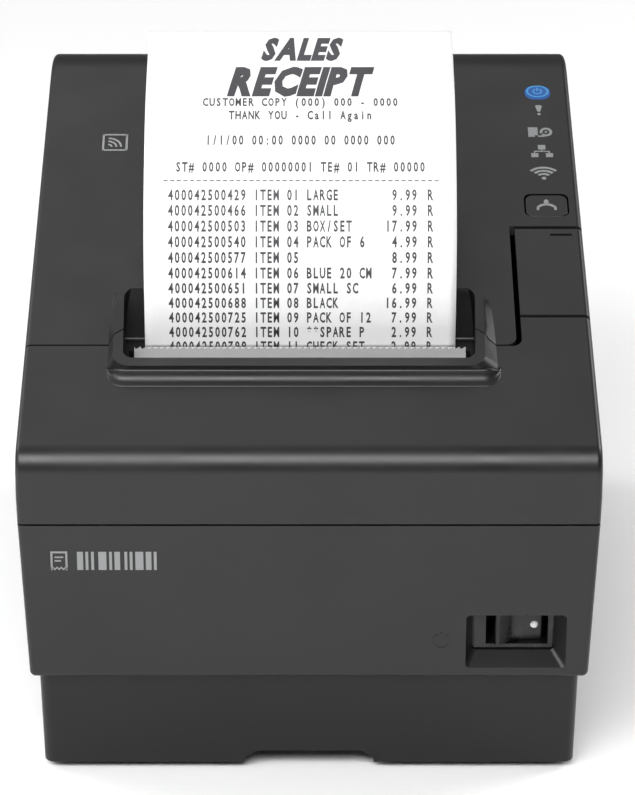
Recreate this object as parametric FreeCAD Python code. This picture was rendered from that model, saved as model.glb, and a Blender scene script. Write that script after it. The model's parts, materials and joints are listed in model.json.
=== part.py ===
import FreeCAD
import Part
import math
import os

from FreeCAD import Vector

# Receipt printer for 80 mm paper, paper exit at the top.  Millimetres, +X right, +Z up.
# The front faces -Y.  Lengths called "d" are measured back from the front face, so
# Y = d - DEPTH / 2.  The origin is under the middle of the printer, at the foot plane.

# ---- driving dimensions ------------------------------------------------------------
WIDTH = 145.0
DEPTH = 195.0
PLINTH_BOTTOM = 2.0
CASE_BOTTOM = 28.4
PARTING = 70.9              # seam between the main case and the covers
WALL = 2.4
GAP = 0.5                   # seam between neighbouring covers

TOP_START = 89.2            # height of the sloping top where it meets the front plane
TOP_RISE = 0.411            # rise of the top per millimetre of depth
CREST_D = 144.4             # where the slope meets the rear fall, before rounding
CREST_Z = TOP_START + TOP_RISE * CREST_D
REAR_SHOULDER_Z = 132.0
CREST_RADIUS = 22.0
FRONT_RADIUS = 7.5

HINGE_D, HINGE_Z = 189.0, 68.0
HINGE_RADIUS = 6.0
HINGE_PIN_RADIUS = 2.0
HINGE_LUG_X = 57.0          # middle of each hinge lug
HINGE_LUG_WIDTH = 6.0

PAPER_MID_X = -2.25
PAPER_WIDTH = 79.5
PAPER_THICK = 0.2
ROLL_D, ROLL_Z, ROLL_RADIUS = 128.0, 80.0, 38.0
CORE_RADIUS, CORE_BORE = 8.0, 6.3
PLATEN_D, PLATEN_Z, PLATEN_RADIUS = 51.0, 84.0, 7.0
WEB_RADIUS = 7.4            # inner face of the paper round the platen
CUT_Z = 91.2                # bottom of the cut across the paper
CUT_HEIGHT = 1.3
WEB_TOP_Z = 100.9

SLOT_LEFT, SLOT_RIGHT = -47.8, 42.9
SLOT_FRONT_D, SLOT_REAR_D = 28.0, 56.0
SLOT_FLOOR_Z = 99.0
SLOT_FLOOR_D = 52.8         # where the slot's floor meets its steep rear wall
SLOT_REAR_Z = 112.6
COVER_SPLIT_D = 36.5        # seam across the top between cutter cover and roll cover
SLOT_SPLIT_D = 39.5

LEVER_LEFT = 54.2
LEVER_GROOVE = 1.4          # open groove between the roll cover and the lever
LEVER_FRONT_D, LEVER_REAR_D = 46.9, 77.0
LEVER_SKIRT = 8.0
LEVER_CLEARANCE = 1.5       # under the skirt, for the turn about the pin

BUTTON_LEFT, BUTTON_RIGHT = 57.6, 68.6
BUTTON_FRONT_D, BUTTON_REAR_D = 81.6, 89.4
SLIT = 0.45

SWITCH_LEFT, SWITCH_RIGHT = 41.3, 61.9
SWITCH_BOTTOM, SWITCH_TOP = 34.2, 45.1

LEVER_PIN_RADIUS = 0.8
LOCK_D, LOCK_Z, LOCK_RADIUS = 28.0, 68.0, 2.5
LOCK_PEG = (59.0, 86.5)     # d and height of the peg that lifts the lock arm

FOOT_X, FOOT_FRONT_D, FOOT_REAR_D = 56.4, 13.5, 181.0
FOOT_RADIUS = 6.5

BRACKET_SPACING_X, BRACKET_SPACING_Y = 80.0, 110.0
BRACKET_HOLE_RADIUS = 1.6

BAY_LEFT = PAPER_MID_X - 40.65
BAY_RIGHT = PAPER_MID_X + 40.65
SHEET = 1.2
PLATES = ((-46.6, -46.6 + SHEET), (41.6, 41.6 + SHEET))     # chassis side plates
EARS = ((-45.0, -43.4), (39.6, 41.2))                       # platen frame ears
SHAFT_RADIUS = 2.0
BUSHING_RADIUS = 3.6
RUNNING = 0.05              # running clearance of a shaft in its hole

HEAD_ANGLE = math.radians(212)      # where the head meets the platen, seen from its centre
HEAD_GAP = 0.22             # from the paper's inner face to the head face
HEAD_PIVOT = (50.4, 59.6)

GEAR_LOW, GEAR_HIGH = 45.0, 49.0    # x range of the feed gears
MODULE = 0.6
PLATEN_TEETH, REDUCTION_TEETH, PINION_TEETH = 32, 40, 12
REDUCTION_D, REDUCTION_Z = 46.0, 63.0
MOTOR_D, MOTOR_Z, MOTOR_RADIUS = 35.4, 51.55, 12.5

BLADE_Z, BLADE_THICK = 91.25, 1.0
CUTTER_GEAR_X, CUTTER_GEAR_D, CUTTER_TEETH, CUTTER_PINION_TEETH = -20.0, 27.0, 36, 10
CRANK = 5.0                 # throw of the crank pin, half the blade's stroke
CUTTER_MOTOR_X, CUTTER_MOTOR_D = -24.63, 14.0

BOWL_Z, BOWL_RADIUS = 83.7, 42.0
DECK_TOP = 68.2
BOARD_Z = 12.0
PORT_BOARD_Z = 33.0

PARTS = "parts"


# ---- small geometry helpers --------------------------------------------------------
def y_of(d):
    """Y of a point d behind the front face."""
    return d - DEPTH / 2


def top_z(d):
    """Height of the sloping top surface."""
    return TOP_START + TOP_RISE * d


SLOPE = math.atan(TOP_RISE)


def above_top(d, lift):
    """(d, z) of the point that stands lift off the sloping top at d."""
    return d - lift * math.sin(SLOPE), top_z(d) + lift * math.cos(SLOPE)


def rounded_wire(corners, to_space):
    """Closed wire through (u, v) or (u, v, radius) corners, rounded with true arcs."""
    runs = []
    count = len(corners)
    for i, corner in enumerate(corners):
        here = Vector(corner[0], corner[1], 0)
        radius = corner[2] if len(corner) > 2 else 0
        back = Vector(*corners[i - 1][:2], 0) - here
        ahead = Vector(*corners[(i + 1) % count][:2], 0) - here
        if radius == 0:
            runs.append((here, None, here))
            continue
        half = back.getAngle(ahead) / 2
        reach = radius / math.tan(half)
        back.normalize()
        ahead.normalize()
        middle = back + ahead
        middle.normalize()
        bulge = radius / math.sin(half) - radius
        runs.append((here + back * reach, here + middle * bulge, here + ahead * reach))
    edges = []
    for i, (start, bulge, end) in enumerate(runs):
        if bulge is not None:
            edges.append(Part.Arc(to_space(start), to_space(bulge), to_space(end)).toShape())
        following = runs[(i + 1) % count][0]
        if end.distanceToPoint(following) > 1e-6:
            edges.append(Part.LineSegment(to_space(end), to_space(following)).toShape())
    return Part.Wire(edges)


def side_wire(corners, x=0.0):
    """Wire in a plane across X, from (d, z) corners."""
    return rounded_wire(corners, lambda p: Vector(x, y_of(p.x), p.y))


def side_prism(corners, x_low, x_high):
    """Solid with a side outline of (d, z) corners, from x_low to x_high."""
    face = Part.Face(side_wire(corners, x_low))
    return face.extrude(Vector(x_high - x_low, 0, 0))


def plan_prism(corners, z_low, z_high):
    """Solid with a plan outline of (x, d) corners, from z_low to z_high."""
    wire = rounded_wire(corners, lambda p: Vector(p.x, y_of(p.y), z_low))
    return Part.Face(wire).extrude(Vector(0, 0, z_high - z_low))


def front_prism(corners, d_low, d_high):
    """Solid with a front outline of (x, z) corners, from d_low to d_high."""
    wire = rounded_wire(corners, lambda p: Vector(p.x, y_of(d_low), p.y))
    return Part.Face(wire).extrude(Vector(0, d_high - d_low, 0))


def block(x_low, x_high, d_low, d_high, z_low, z_high):
    size = (x_high - x_low, d_high - d_low, z_high - z_low)
    return Part.makeBox(*size, Vector(x_low, y_of(d_low), z_low))


def rod_x(radius, x_low, x_high, d, z):
    return Part.makeCylinder(radius, x_high - x_low, Vector(x_low, y_of(d), z), Vector(1, 0, 0))


def rod_y(radius, d_low, d_high, x, z):
    return Part.makeCylinder(radius, d_high - d_low, Vector(x, y_of(d_low), z), Vector(0, 1, 0))


def rod_z(radius, z_low, z_high, x, d):
    return Part.makeCylinder(radius, z_high - z_low, Vector(x, y_of(d), z_low), Vector(0, 0, 1))


def ring_x(outer, inner, x_low, x_high, d, z):
    return rod_x(outer, x_low, x_high, d, z).cut(rod_x(inner, x_low - 1, x_high + 1, d, z))


def joined(shapes):
    first, *others = shapes
    return first.fuse(others).removeSplitter() if others else first


def slab_on_top(left, right, d_front, d_rear, lift_low, lift_high, radius=0.0):
    """Plate lying along the sloping top, between two lifts off its surface."""
    reach = (d_rear - d_front) / math.cos(SLOPE)
    flat = rounded_wire(
        [(left, 0, radius), (right, 0, radius), (right, reach, radius), (left, reach, radius)],
        lambda p: Vector(p.x, p.y, 0),
    )
    plate = Part.Face(flat).extrude(Vector(0, 0, lift_high - lift_low))
    start_d, start_z = above_top(d_front, lift_low)
    tilt = FreeCAD.Rotation(Vector(1, 0, 0), math.degrees(SLOPE))
    plate.Placement = FreeCAD.Placement(Vector(0, y_of(start_d), start_z), tilt)
    return plate


def gear_x(teeth, module, x_low, x_high, d, z, bore):
    """Straight-toothed gear about an X axis; the tips stop just short of the pitch line."""
    pitch = teeth * module / 2
    tip, root = pitch - 0.06, pitch - 1.2 * module
    points = []
    for tooth in range(teeth):
        for share, radius in ((0.0, root), (0.22, root), (0.38, tip), (0.62, tip), (0.78, root)):
            angle = 2 * math.pi * (tooth + share) / teeth
            points.append((d + radius * math.cos(angle), z + radius * math.sin(angle)))
    gear = side_prism(points, x_low, x_high)
    return gear.cut(rod_x(bore, x_low - 1, x_high + 1, d, z)) if bore else gear


def export(node, *solids):
    """Write one node; several solids are kept as separate solids in one file."""
    flat = [piece for shape in solids for piece in shape.Solids]
    shape = flat[0] if len(flat) == 1 else Part.makeCompound(flat)
    shape.exportStep(os.path.join(PARTS, node + ".step"))


# ---- outer form --------------------------------------------------------------------
def outer_outline(low_z):
    return [
        (0, low_z, 1.2),
        (DEPTH, low_z, 1.2),
        (DEPTH, REAR_SHOULDER_Z, 3.0),
        (CREST_D, CREST_Z, CREST_RADIUS),
        (0, TOP_START, FRONT_RADIUS),
    ]


def cross_outline():
    """Front view of the case and covers: it narrows below the seam and a little above it."""
    low, seam, wide, high = 70.55, 72.35, WIDTH / 2, 71.75
    return [
        (-low, CASE_BOTTOM), (low, CASE_BOTTOM), (seam, PARTING), (wide, 78.0), (high, 150.0),
        (-high, 150.0), (-wide, 78.0), (-seam, PARTING),
    ]


def body_form(inset):
    """Whole outer form of case and covers, shrunk by inset all round."""
    side = side_wire(outer_outline(CASE_BOTTOM), -100.0)
    cross = rounded_wire(cross_outline(), lambda p: Vector(p.x, y_of(-50.0), p.y))
    if inset:
        side = side.makeOffset2D(-inset)
        cross = cross.makeOffset2D(-inset)
    form = Part.Face(side).extrude(Vector(200, 0, 0))
    return form.common(Part.Face(cross).extrude(Vector(0, 300, 0)))


def softened(form, radius):
    """Round the edges where the sides meet the front, top, rear and underside."""
    outline = side_wire(outer_outline(CASE_BOTTOM))
    edges = []
    for edge in form.Edges:
        middle = edge.valueAt((edge.FirstParameter + edge.LastParameter) / 2)
        on_outline = outline.distToShape(Part.Vertex(0, middle.y, middle.z))[0] < 1e-4
        if on_outline and abs(middle.x) > 60:
            edges.append(edge)
    return form.makeFillet(radius, edges)


def collar():
    """Raised rim round the paper slot: proud at the front, fading out at the rear."""
    foot_front, foot_rear = 25.6, 62.0
    lip_front, lip_rear = 24.9, 58.4
    rim_start_z, rim_rise = 103.4, 0.285

    def on_foot(p):
        d, z = above_top(p.y, -1.2)
        return Vector(p.x, y_of(d), z)

    def on_rim(p):
        return Vector(p.x, y_of(p.y), rim_start_z + rim_rise * (p.y - lip_front))

    foot = [(-51.3, foot_front, 5.0), (48.7, foot_front, 5.0), (49.6, foot_rear, 9.0),
            (-52.4, foot_rear, 9.0)]
    rim = [(-49.4, lip_front, 4.5), (44.4, lip_front, 4.5), (45.0, lip_rear, 6.0),
           (-50.0, lip_rear, 6.0)]
    wires = [rounded_wire(foot, on_foot), rounded_wire(rim, on_rim)]
    return Part.makeLoft(wires, True, True)


def slot_opening():
    """Space inside the collar, with a steep wall behind the paper."""
    side = side_prism(
        [(SLOT_FRONT_D, SLOT_FLOOR_Z, 1.0), (SLOT_FLOOR_D, SLOT_FLOOR_Z, 1.0),
         (SLOT_REAR_D, SLOT_REAR_Z, 2.5), (SLOT_REAR_D + 1, 130.0), (SLOT_FRONT_D, 130.0)], -60, 60)
    plan = plan_prism(
        [(SLOT_LEFT + 0.9, SLOT_FRONT_D - 0.1, 3.0), (SLOT_RIGHT - 0.9, SLOT_FRONT_D - 0.1, 3.0),
         (SLOT_RIGHT, SLOT_REAR_D + 1.2, 5.0), (SLOT_LEFT, SLOT_REAR_D + 1.2, 5.0)], 90, 130)
    throat = block(SLOT_LEFT + 1.5, SLOT_RIGHT - 1.5, COVER_SPLIT_D - 0.3, 45.4, 90, 101)
    return joined([side.common(plan), throat])


def throat_block():
    """Material kept round the slot, below the top wall."""
    floor_z, rear_d = SLOT_FLOOR_Z - 2.0, SLOT_FLOOR_D + 2.4
    return side_prism([(25.7, floor_z), (rear_d, floor_z), (59.6, 111.5), (59.6, 125), (25.7, 125)],
                      SLOT_LEFT - 2.2, SLOT_RIGHT + 2.2)


def cover_shell():
    """All covers above the parting line as one shell, before they are split."""
    solid = softened(body_form(0), 1.5)
    solid = solid.common(block(-90, 90, -5, DEPTH + 5, PARTING + GAP / 2, 160))
    solid = solid.fuse(collar()).removeSplitter()
    cavity = body_form(WALL).cut(throat_block())
    shell = solid.cut(cavity)
    return shell.cut(slot_opening())


def zone(corners, z_low=0.0, z_high=200.0):
    return plan_prism(corners, z_low, z_high)


def split_line(offset):
    """Seam across the top, left to right, as plan corners; it steps back at the slot."""
    return [(-90, COVER_SPLIT_D + offset), (-50.2, COVER_SPLIT_D + offset, 2.0),
            (-47.2, SLOT_SPLIT_D + offset, 2.0), (42.6, SLOT_SPLIT_D + offset, 2.0),
            (45.6, COVER_SPLIT_D + offset, 2.0)]


def roll_cover_zone():
    half = GAP / 2
    right = LEVER_LEFT - LEVER_GROOVE
    return zone(split_line(half) + [
        (right, COVER_SPLIT_D + half, 2.5), (right, LEVER_REAR_D + 1.1), (90, LEVER_REAR_D + 1.1),
        (90, DEPTH + 10), (-90, DEPTH + 10)])


def cutter_cover_zone():
    half = GAP / 2
    return zone([(-90, -10), (90, -10), (90, LEVER_FRONT_D - 1.0), (LEVER_LEFT, LEVER_FRONT_D - 1.0),
                 (LEVER_LEFT, COVER_SPLIT_D - half, 2.5)] + list(reversed(split_line(-half))))


def lever_zone(extra=0.0):
    return zone([(LEVER_LEFT, LEVER_FRONT_D - extra), (90, LEVER_FRONT_D - extra),
                 (90, LEVER_REAR_D + extra), (LEVER_LEFT, LEVER_REAR_D + extra)])


def below_lever(clearance):
    """Half space under the lever skirt, parallel to the top."""
    d0, d1 = LEVER_FRONT_D - 5, LEVER_REAR_D + 5
    drop = LEVER_SKIRT + clearance
    return side_prism([(d0, 60), (d1, 60), (d1, top_z(d1) - drop), (d0, top_z(d0) - drop)], 50, 80)


# ---- covers ------------------------------------------------------------------------
def button_outline(grow):
    return slab_on_top(BUTTON_LEFT - grow, BUTTON_RIGHT + grow, BUTTON_FRONT_D,
                       BUTTON_REAR_D + grow, -WALL, 2.0, 2.0)


def icon_window(x, d, width, length, grow=0.0, lift=-0.02):
    """Rounded plug through the top wall, up to lift above the surface."""
    half_w, half_l = width / 2 + grow, length / 2 * math.cos(SLOPE) + grow
    return slab_on_top(x - half_w, x + half_w, d - half_l, d + half_l, -WALL, lift,
                       min(half_w, half_l) * 0.95)


LENS_X, LENS_D, LENS_WIDTH, LENS_LENGTH = 63.0, 128.6, 7.0, 5.8


def hinge_lug_zone(side, grow):
    mid = side * HINGE_LUG_X
    half = HINGE_LUG_WIDTH / 2 + grow
    return mid - half, mid + half


def roll_cover(shell):
    cover = shell.common(roll_cover_zone())
    barrel = rod_x(HINGE_RADIUS, -70.4, 70.4, HINGE_D, HINGE_Z)
    web = block(-70.0, 70.0, HINGE_D + 2.0, DEPTH - 0.1, HINGE_Z, PARTING + 6)
    cover = joined([cover, barrel, web])
    for side in (-1, 1):
        low, high = hinge_lug_zone(side, 0.3)
        cover = cover.cut(rod_x(HINGE_RADIUS + 0.3, low, high, HINGE_D, HINGE_Z))
        cover = cover.cut(block(low, high, HINGE_D - 9, DEPTH + 1, HINGE_Z - 9, HINGE_Z + 9.5))
    cover = cover.cut(rod_x(HINGE_PIN_RADIUS + 0.05, -67.0, 67.0, HINGE_D, HINGE_Z))
    for x, d in frame_screw_points():
        post = rod_z(3.2, 107.5, top_z(d) - 1.5, x, d)
        cover = joined([cover, post]).cut(rod_z(1.2, 107.0, 114.0, x, d))
    cover = cover.cut(button_outline(SLIT))
    return cover.cut(icon_window(LENS_X, LENS_D, LENS_WIDTH, LENS_LENGTH, 0.05, 1.0))


def main_case(shell):
    case = softened(body_form(0), 1.5)
    case = case.common(block(-90, 90, -5, DEPTH + 5, 0, PARTING - GAP / 2))
    cavity = body_form(WALL).fuse(block(-66, 66, 8, DEPTH - 8, CASE_BOTTOM - 1, CASE_BOTTOM + 5))
    case = case.cut(cavity)
    upstand = shell.common(lever_zone()).common(below_lever(LEVER_CLEARANCE))
    upstand = upstand.fuse(shell.common(lever_zone()).common(
        block(50, 90, 0, 100, PARTING, PARTING + 1)))
    low_edge = body_form(0).cut(body_form(WALL)).common(lever_zone()).common(
        block(60, 90, 0, 100, PARTING - 2, PARTING + 1))
    case = joined([case, upstand, low_edge])
    # room for the cover's hinge barrel
    case = case.cut(rod_x(HINGE_RADIUS + 0.45, -90, 90, HINGE_D, HINGE_Z))
    case = case.cut(block(-90, 90, HINGE_D, DEPTH + 1, HINGE_Z - HINGE_RADIUS - 0.6, 90))
    case = case.cut(block(-90, 90, HINGE_D - 0.1, HINGE_D + 9, HINGE_Z - 2, 90))
    for x, d in case_screw_points():
        boss = rod_z(3.2, 8.3, 36.0, x, d)
        rib = block(min(x, math.copysign(69.0, x)), max(x, math.copysign(69.0, x)), d - 1, d + 1, 29.5, 36)
        case = joined([case, boss, rib]).cut(rod_z(1.5, 8, 24, x, d))
    for side in (-1, 1):
        low, high = hinge_lug_zone(side, 0)
        lug = rod_x(HINGE_RADIUS - 0.4, low, high, HINGE_D, HINGE_Z)
        stem = block(low, high, HINGE_D - 5, DEPTH - WALL + 0.1, HINGE_Z - 11.5, HINGE_Z - 4)
        case = joined([case, lug, stem])
    case = case.cut(rod_x(HINGE_PIN_RADIUS, -67.0, 67.0, HINGE_D, HINGE_Z))
    # switch recess with chamfered walls and a window for the rocker
    mouth = rounded_wire([(39.4, 31.0, 1.2), (64.8, 31.0, 1.2), (64.8, 45.9, 1.2), (39.4, 45.9, 1.2)],
                         lambda p: Vector(p.x, y_of(-0.1), p.y))
    floor = rounded_wire([(SWITCH_LEFT, SWITCH_BOTTOM, 1.0), (SWITCH_RIGHT, SWITCH_BOTTOM, 1.0),
                          (SWITCH_RIGHT, SWITCH_TOP, 1.0), (SWITCH_LEFT, SWITCH_TOP, 1.0)],
                         lambda p: Vector(p.x, y_of(4.0), p.y))
    backing = block(38.3, 65.8, 1.0, 5.2, 29.6, 47.6)
    case = joined([case, backing]).cut(Part.makeLoft([mouth, floor], True, True))
    window = front_prism([(SWITCH_LEFT, SWITCH_BOTTOM, 1.0), (SWITCH_RIGHT, SWITCH_BOTTOM, 1.0),
                          (SWITCH_RIGHT, SWITCH_TOP, 1.0), (SWITCH_LEFT, SWITCH_TOP, 1.0)], 3.9, 6)
    case = case.cut(window)
    # window for the rear connector panel
    return case.cut(front_prism([(-64, 31.5, 2), (38, 31.5, 2), (38, 55, 2), (-64, 55, 2)],
                                DEPTH - 5, DEPTH + 1))


def base_tray():
    """Plinth: an open tray with a raised floor, set in a little from the case."""
    foot_half, rim_half = 68.0, 68.5

    def outline(half, front, rear, radius):
        return [(-half, front, radius), (half, front, radius), (half, rear, radius), (-half, rear, radius)]

    def level(z):
        return lambda p: Vector(p.x, y_of(p.y), z)

    outer = Part.makeLoft([rounded_wire(outline(foot_half, 3.6, 191.0, 3.0), level(PLINTH_BOTTOM)),
                           rounded_wire(outline(rim_half, 2.6, 192.0, 3.0), level(CASE_BOTTOM))],
                          True, True)
    room = plan_prism(outline(65.8, 5.6, 189.2, 1.5), 8.2, 40)
    under = plan_prism(outline(65.4, 6.0, 188.6, 1.5), 0, 6.0)
    tray = outer.cut(room).cut(under)
    arch = front_prism([(-17, 0), (17, 0), (16.5, 3.3), (13.4, 5.4, 1.0), (-13.2, 5.4, 1.0), (-16.5, 3.3)],
                       0, 12)
    tray = tray.cut(arch)
    for x in (-FOOT_X, FOOT_X):
        for d in (FOOT_FRONT_D, FOOT_REAR_D):
            tray = tray.cut(rod_z(2.0, 4, 9, x, d))
    for x, d in bracket_points():
        tray = tray.fuse(rod_z(4.0, 8.1, 11.0, x, d)).cut(rod_z(BRACKET_HOLE_RADIUS, 5, 13, x, d))
    for points, top in ((board_screw_points(), BOARD_Z), (chassis_screw_points(), PORT_BOARD_Z),
                        (port_screw_points(), PORT_BOARD_Z)):
        for x, d in points:
            tray = tray.fuse(rod_z(3.4, 8.1, top, x, d)).cut(rod_z(1.5, 9.0, top + 1, x, d))
    for x, d in case_screw_points():
        tray = tray.cut(rod_z(1.7, 5, 9, x, d))
    return tray.removeSplitter()


def bracket_points():
    return [(sx * BRACKET_SPACING_X / 2, DEPTH / 2 + sd * BRACKET_SPACING_Y / 2)
            for sx in (-1, 1) for sd in (-1, 1)]


def case_screw_points():
    return [(x, d) for x in (-60.0, 60.0) for d in (28.0, 168.0)]


def board_screw_points():
    return [(x, d) for x in (-41.0, 41.0) for d in (36.0, 138.0)]


def chassis_screw_points():
    return [(x, d) for x in (-53.0, 49.0) for d in (28.0, 64.0)]


def port_screw_points():
    return [(-50.0, 163.0), (32.0, 163.0)]


def screw(x, d, head_z, length, radius=1.5, up=True):
    """Cross-recess screw: the head stands on head_z and the shank runs the other way."""
    way = 1 if up else -1
    head_low, shank_low = (head_z, head_z - length) if up else (head_z - 1.8, head_z)
    head = rod_z(radius * 1.9, head_low, head_low + 1.8, x, d)
    rim_z = head_z + way * 1.8
    rim = [edge for edge in head.Edges if abs(edge.CenterOfMass.z - rim_z) < 1e-6]
    head = head.makeFillet(0.7, rim)
    shank = rod_z(radius, shank_low, shank_low + length, x, d)
    recess_low = head_z + 0.7 if up else head_z - 1.8
    cross = block(x - 0.3, x + 0.3, d - 1.4, d + 1.4, recess_low, recess_low + 1.1)
    cross = cross.fuse(block(x - 1.4, x + 1.4, d - 0.3, d + 0.3, recess_low, recess_low + 1.1))
    return joined([head, shank]).cut(cross)


def rubber_feet():
    feet = []
    for x in (-FOOT_X, FOOT_X):
        for d in (FOOT_FRONT_D, FOOT_REAR_D):
            dome = rod_z(FOOT_RADIUS, 0, 6.0, x, d)
            rim = [edge for edge in dome.Edges if abs(edge.CenterOfMass.z) < 1e-6]
            feet.append(joined([dome.makeFillet(1.8, rim), rod_z(1.95, 5.9, 8.6, x, d)]))
    return feet


def cutter_cover(shell):
    return shell.common(cutter_cover_zone())


def open_lever(shell):
    finger_groove = slab_on_top(63.4, 69.2, LEVER_REAR_D - 2.6, LEVER_REAR_D - 1.7, -0.4, 2.0, 0.4)
    lever = shell.common(lever_zone()).cut(below_lever(0.0)).cut(finger_groove)
    pin_d, pin_z = lever_pin_place()
    knuckle = rod_x(1.9, 56.4, 65.8, pin_d, pin_z)
    stem = block(60.4, 62.4, 56.0, 61.5, 85.2, top_z(56.0) - 1.0)
    peg = rod_x(1.0, 57.8, 60.6, *LOCK_PEG)
    return joined([lever, knuckle, stem, peg]).cut(
        rod_x(LEVER_PIN_RADIUS + 0.05, LEVER_LEFT, 70.0, pin_d, pin_z))


def lever_pin_place():
    return above_top(LEVER_FRONT_D + 3.8, -4.2)


def feed_button():
    return button_outline(0.0).common(slab_on_top(50, 75, 70, 100, -WALL, 0.0))


def power_lens():
    return icon_window(LENS_X, LENS_D, LENS_WIDTH, LENS_LENGTH)


def panel_board():
    """Small board under the icons, with a key under the feed button and a lamp under the lens."""
    plate = slab_on_top(55.0, 67.5, 78.0, 134.0, -7.6, -6.2, 1.0)
    key = slab_on_top(60.6, 65.6, 84.0, 88.6, -6.2, -3.6, 0.5)
    lamp = slab_on_top(60.6, 65.4, 127.5, 130.6, -6.2, -4.4, 0.4)
    return joined([plate, key, lamp])


def frame_screw_points():
    return [(-38.0, 74.6), (33.5, 74.6)]


def hinge_pins():
    return [rod_x(HINGE_PIN_RADIUS, low, high, HINGE_D, HINGE_Z)
            for low, high in ((-66.5, -49.0), (49.0, 66.5))]


# ---- paper -------------------------------------------------------------------------
def strip(path, thick, x_low, x_high):
    """Sheet that follows a path of (d, z) or (d, z, radius) corners, thickened to its left."""
    inner = [tuple(corner) for corner in path]
    outer = []
    for i, corner in enumerate(path):
        here = Vector(corner[0], corner[1], 0)
        before = here - Vector(*path[i - 1][:2], 0) if i else None
        after = Vector(*path[i + 1][:2], 0) - here if i + 1 < len(path) else None
        ways = [way.normalize() for way in (before, after) if way is not None]
        lefts = [Vector(-way.y, way.x, 0) for way in ways]
        middle = sum(lefts, Vector()).normalize()
        moved = here + middle * (thick / middle.dot(lefts[0]))
        radius = corner[2] if len(corner) > 2 else 0
        if radius:
            turn = ways[0].cross(ways[1]).z
            radius = radius - math.copysign(thick, turn)
        outer.append((moved.x, moved.y, radius))
    return side_prism(inner + outer[::-1], x_low, x_high)


def web_tangent():
    """Unit normal (down and forwards) of the paper between the roll and the platen."""
    run_d, run_z = PLATEN_D - ROLL_D, PLATEN_Z - ROLL_Z
    lean = math.asin((ROLL_RADIUS + 0.05 - WEB_RADIUS) / math.hypot(run_d, run_z))
    lean += math.atan2(run_z, -run_d)
    return -math.sin(lean), -math.cos(lean)


def paper_web():
    """Paper from the roll, round the platen and up to the tear bar, part cut across."""
    normal_d, normal_z = web_tangent()
    roll_d, roll_z = ROLL_D + (ROLL_RADIUS + 0.05) * normal_d, ROLL_Z + (ROLL_RADIUS + 0.05) * normal_z
    away = 6.5
    start = (roll_d + away * normal_z, roll_z - away * normal_d)
    upright_d = PLATEN_D - WEB_RADIUS
    corner = (upright_d, roll_z + (roll_d - upright_d) * -normal_d / -normal_z, WEB_RADIUS)
    web = strip([start, corner, (upright_d, WEB_TOP_Z)], PAPER_THICK, *paper_sides())
    cuts = [block(low, high, 40, 46, CUT_Z, CUT_Z + CUT_HEIGHT)
            for low, high in ((-60, PAPER_MID_X - 1), (PAPER_MID_X + 1, 60))]
    return web.cut(cuts[0]).cut(cuts[1])


def paper_sides():
    return PAPER_MID_X - PAPER_WIDTH / 2, PAPER_MID_X + PAPER_WIDTH / 2


def receipt():
    """Printed length standing in the slot and curling back at the top."""
    upright_d = PLATEN_D - WEB_RADIUS
    path = [(upright_d, WEB_TOP_Z + 0.4), (upright_d, 131.5, 45.0), (65.9, 157.35, 50.0),
            (95.1, 169.6)]
    return strip(path, PAPER_THICK, *paper_sides())


def paper_roll():
    return ring_x(ROLL_RADIUS, CORE_RADIUS, *paper_sides(), ROLL_D, ROLL_Z)


def roll_core():
    low, high = paper_sides()
    return ring_x(CORE_RADIUS, CORE_BORE, low + 0.2, high - 0.2, ROLL_D, ROLL_Z)


# ---- platen and its frame ----------------------------------------------------------
def platen_roller():
    return ring_x(PLATEN_RADIUS, SHAFT_RADIUS, PAPER_MID_X - 40.1, PAPER_MID_X + 40.1, PLATEN_D, PLATEN_Z)


def platen_shaft():
    shaft = rod_x(SHAFT_RADIUS, -50.6, GEAR_HIGH + 0.6, PLATEN_D, PLATEN_Z)
    return shaft.makeChamfer(0.4, [e for e in shaft.Edges if abs(e.CenterOfMass.x) > 49 and e.Closed])


def platen_bushings():
    return [ring_x(BUSHING_RADIUS, SHAFT_RADIUS + RUNNING, low, high, PLATEN_D, PLATEN_Z)
            for low, high in ((PLATES[0][0] - 0.5, EARS[0][1]), (EARS[1][0], PLATES[1][1] + 0.5))]


def platen_gear():
    return gear_x(PLATEN_TEETH, MODULE, GEAR_LOW, GEAR_HIGH, PLATEN_D, PLATEN_Z, SHAFT_RADIUS)


def platen_frame():
    """Sheet carrier under the roll cover, with an ear at each end of the platen."""
    top = strip([(47.5, 93.6), (62.0, 93.6, 3.0), (69.0, 105.9, 3.0), (79.0, 105.9)], 1.6,
                EARS[0][0], EARS[1][1])
    ears = [side_prism([(45.2, 78.6, 2.0), (57.0, 78.6, 2.0), (59.0, 94.2), (48.6, 94.2), (45.2, 88.0)],
                       low, high) for low, high in EARS]
    frame = joined([top] + ears)
    frame = frame.cut(rod_x(BUSHING_RADIUS, -60, 60, PLATEN_D, PLATEN_Z))
    for x, d in frame_screw_points():
        frame = frame.cut(rod_z(1.6, 100, 110, x, d))
    return frame


def fixed_blade():
    return side_prism([(44.4, 92.45), (53.0, 92.45), (53.0, 93.6), (44.9, 93.6)], -43.0, 38.6)


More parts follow.
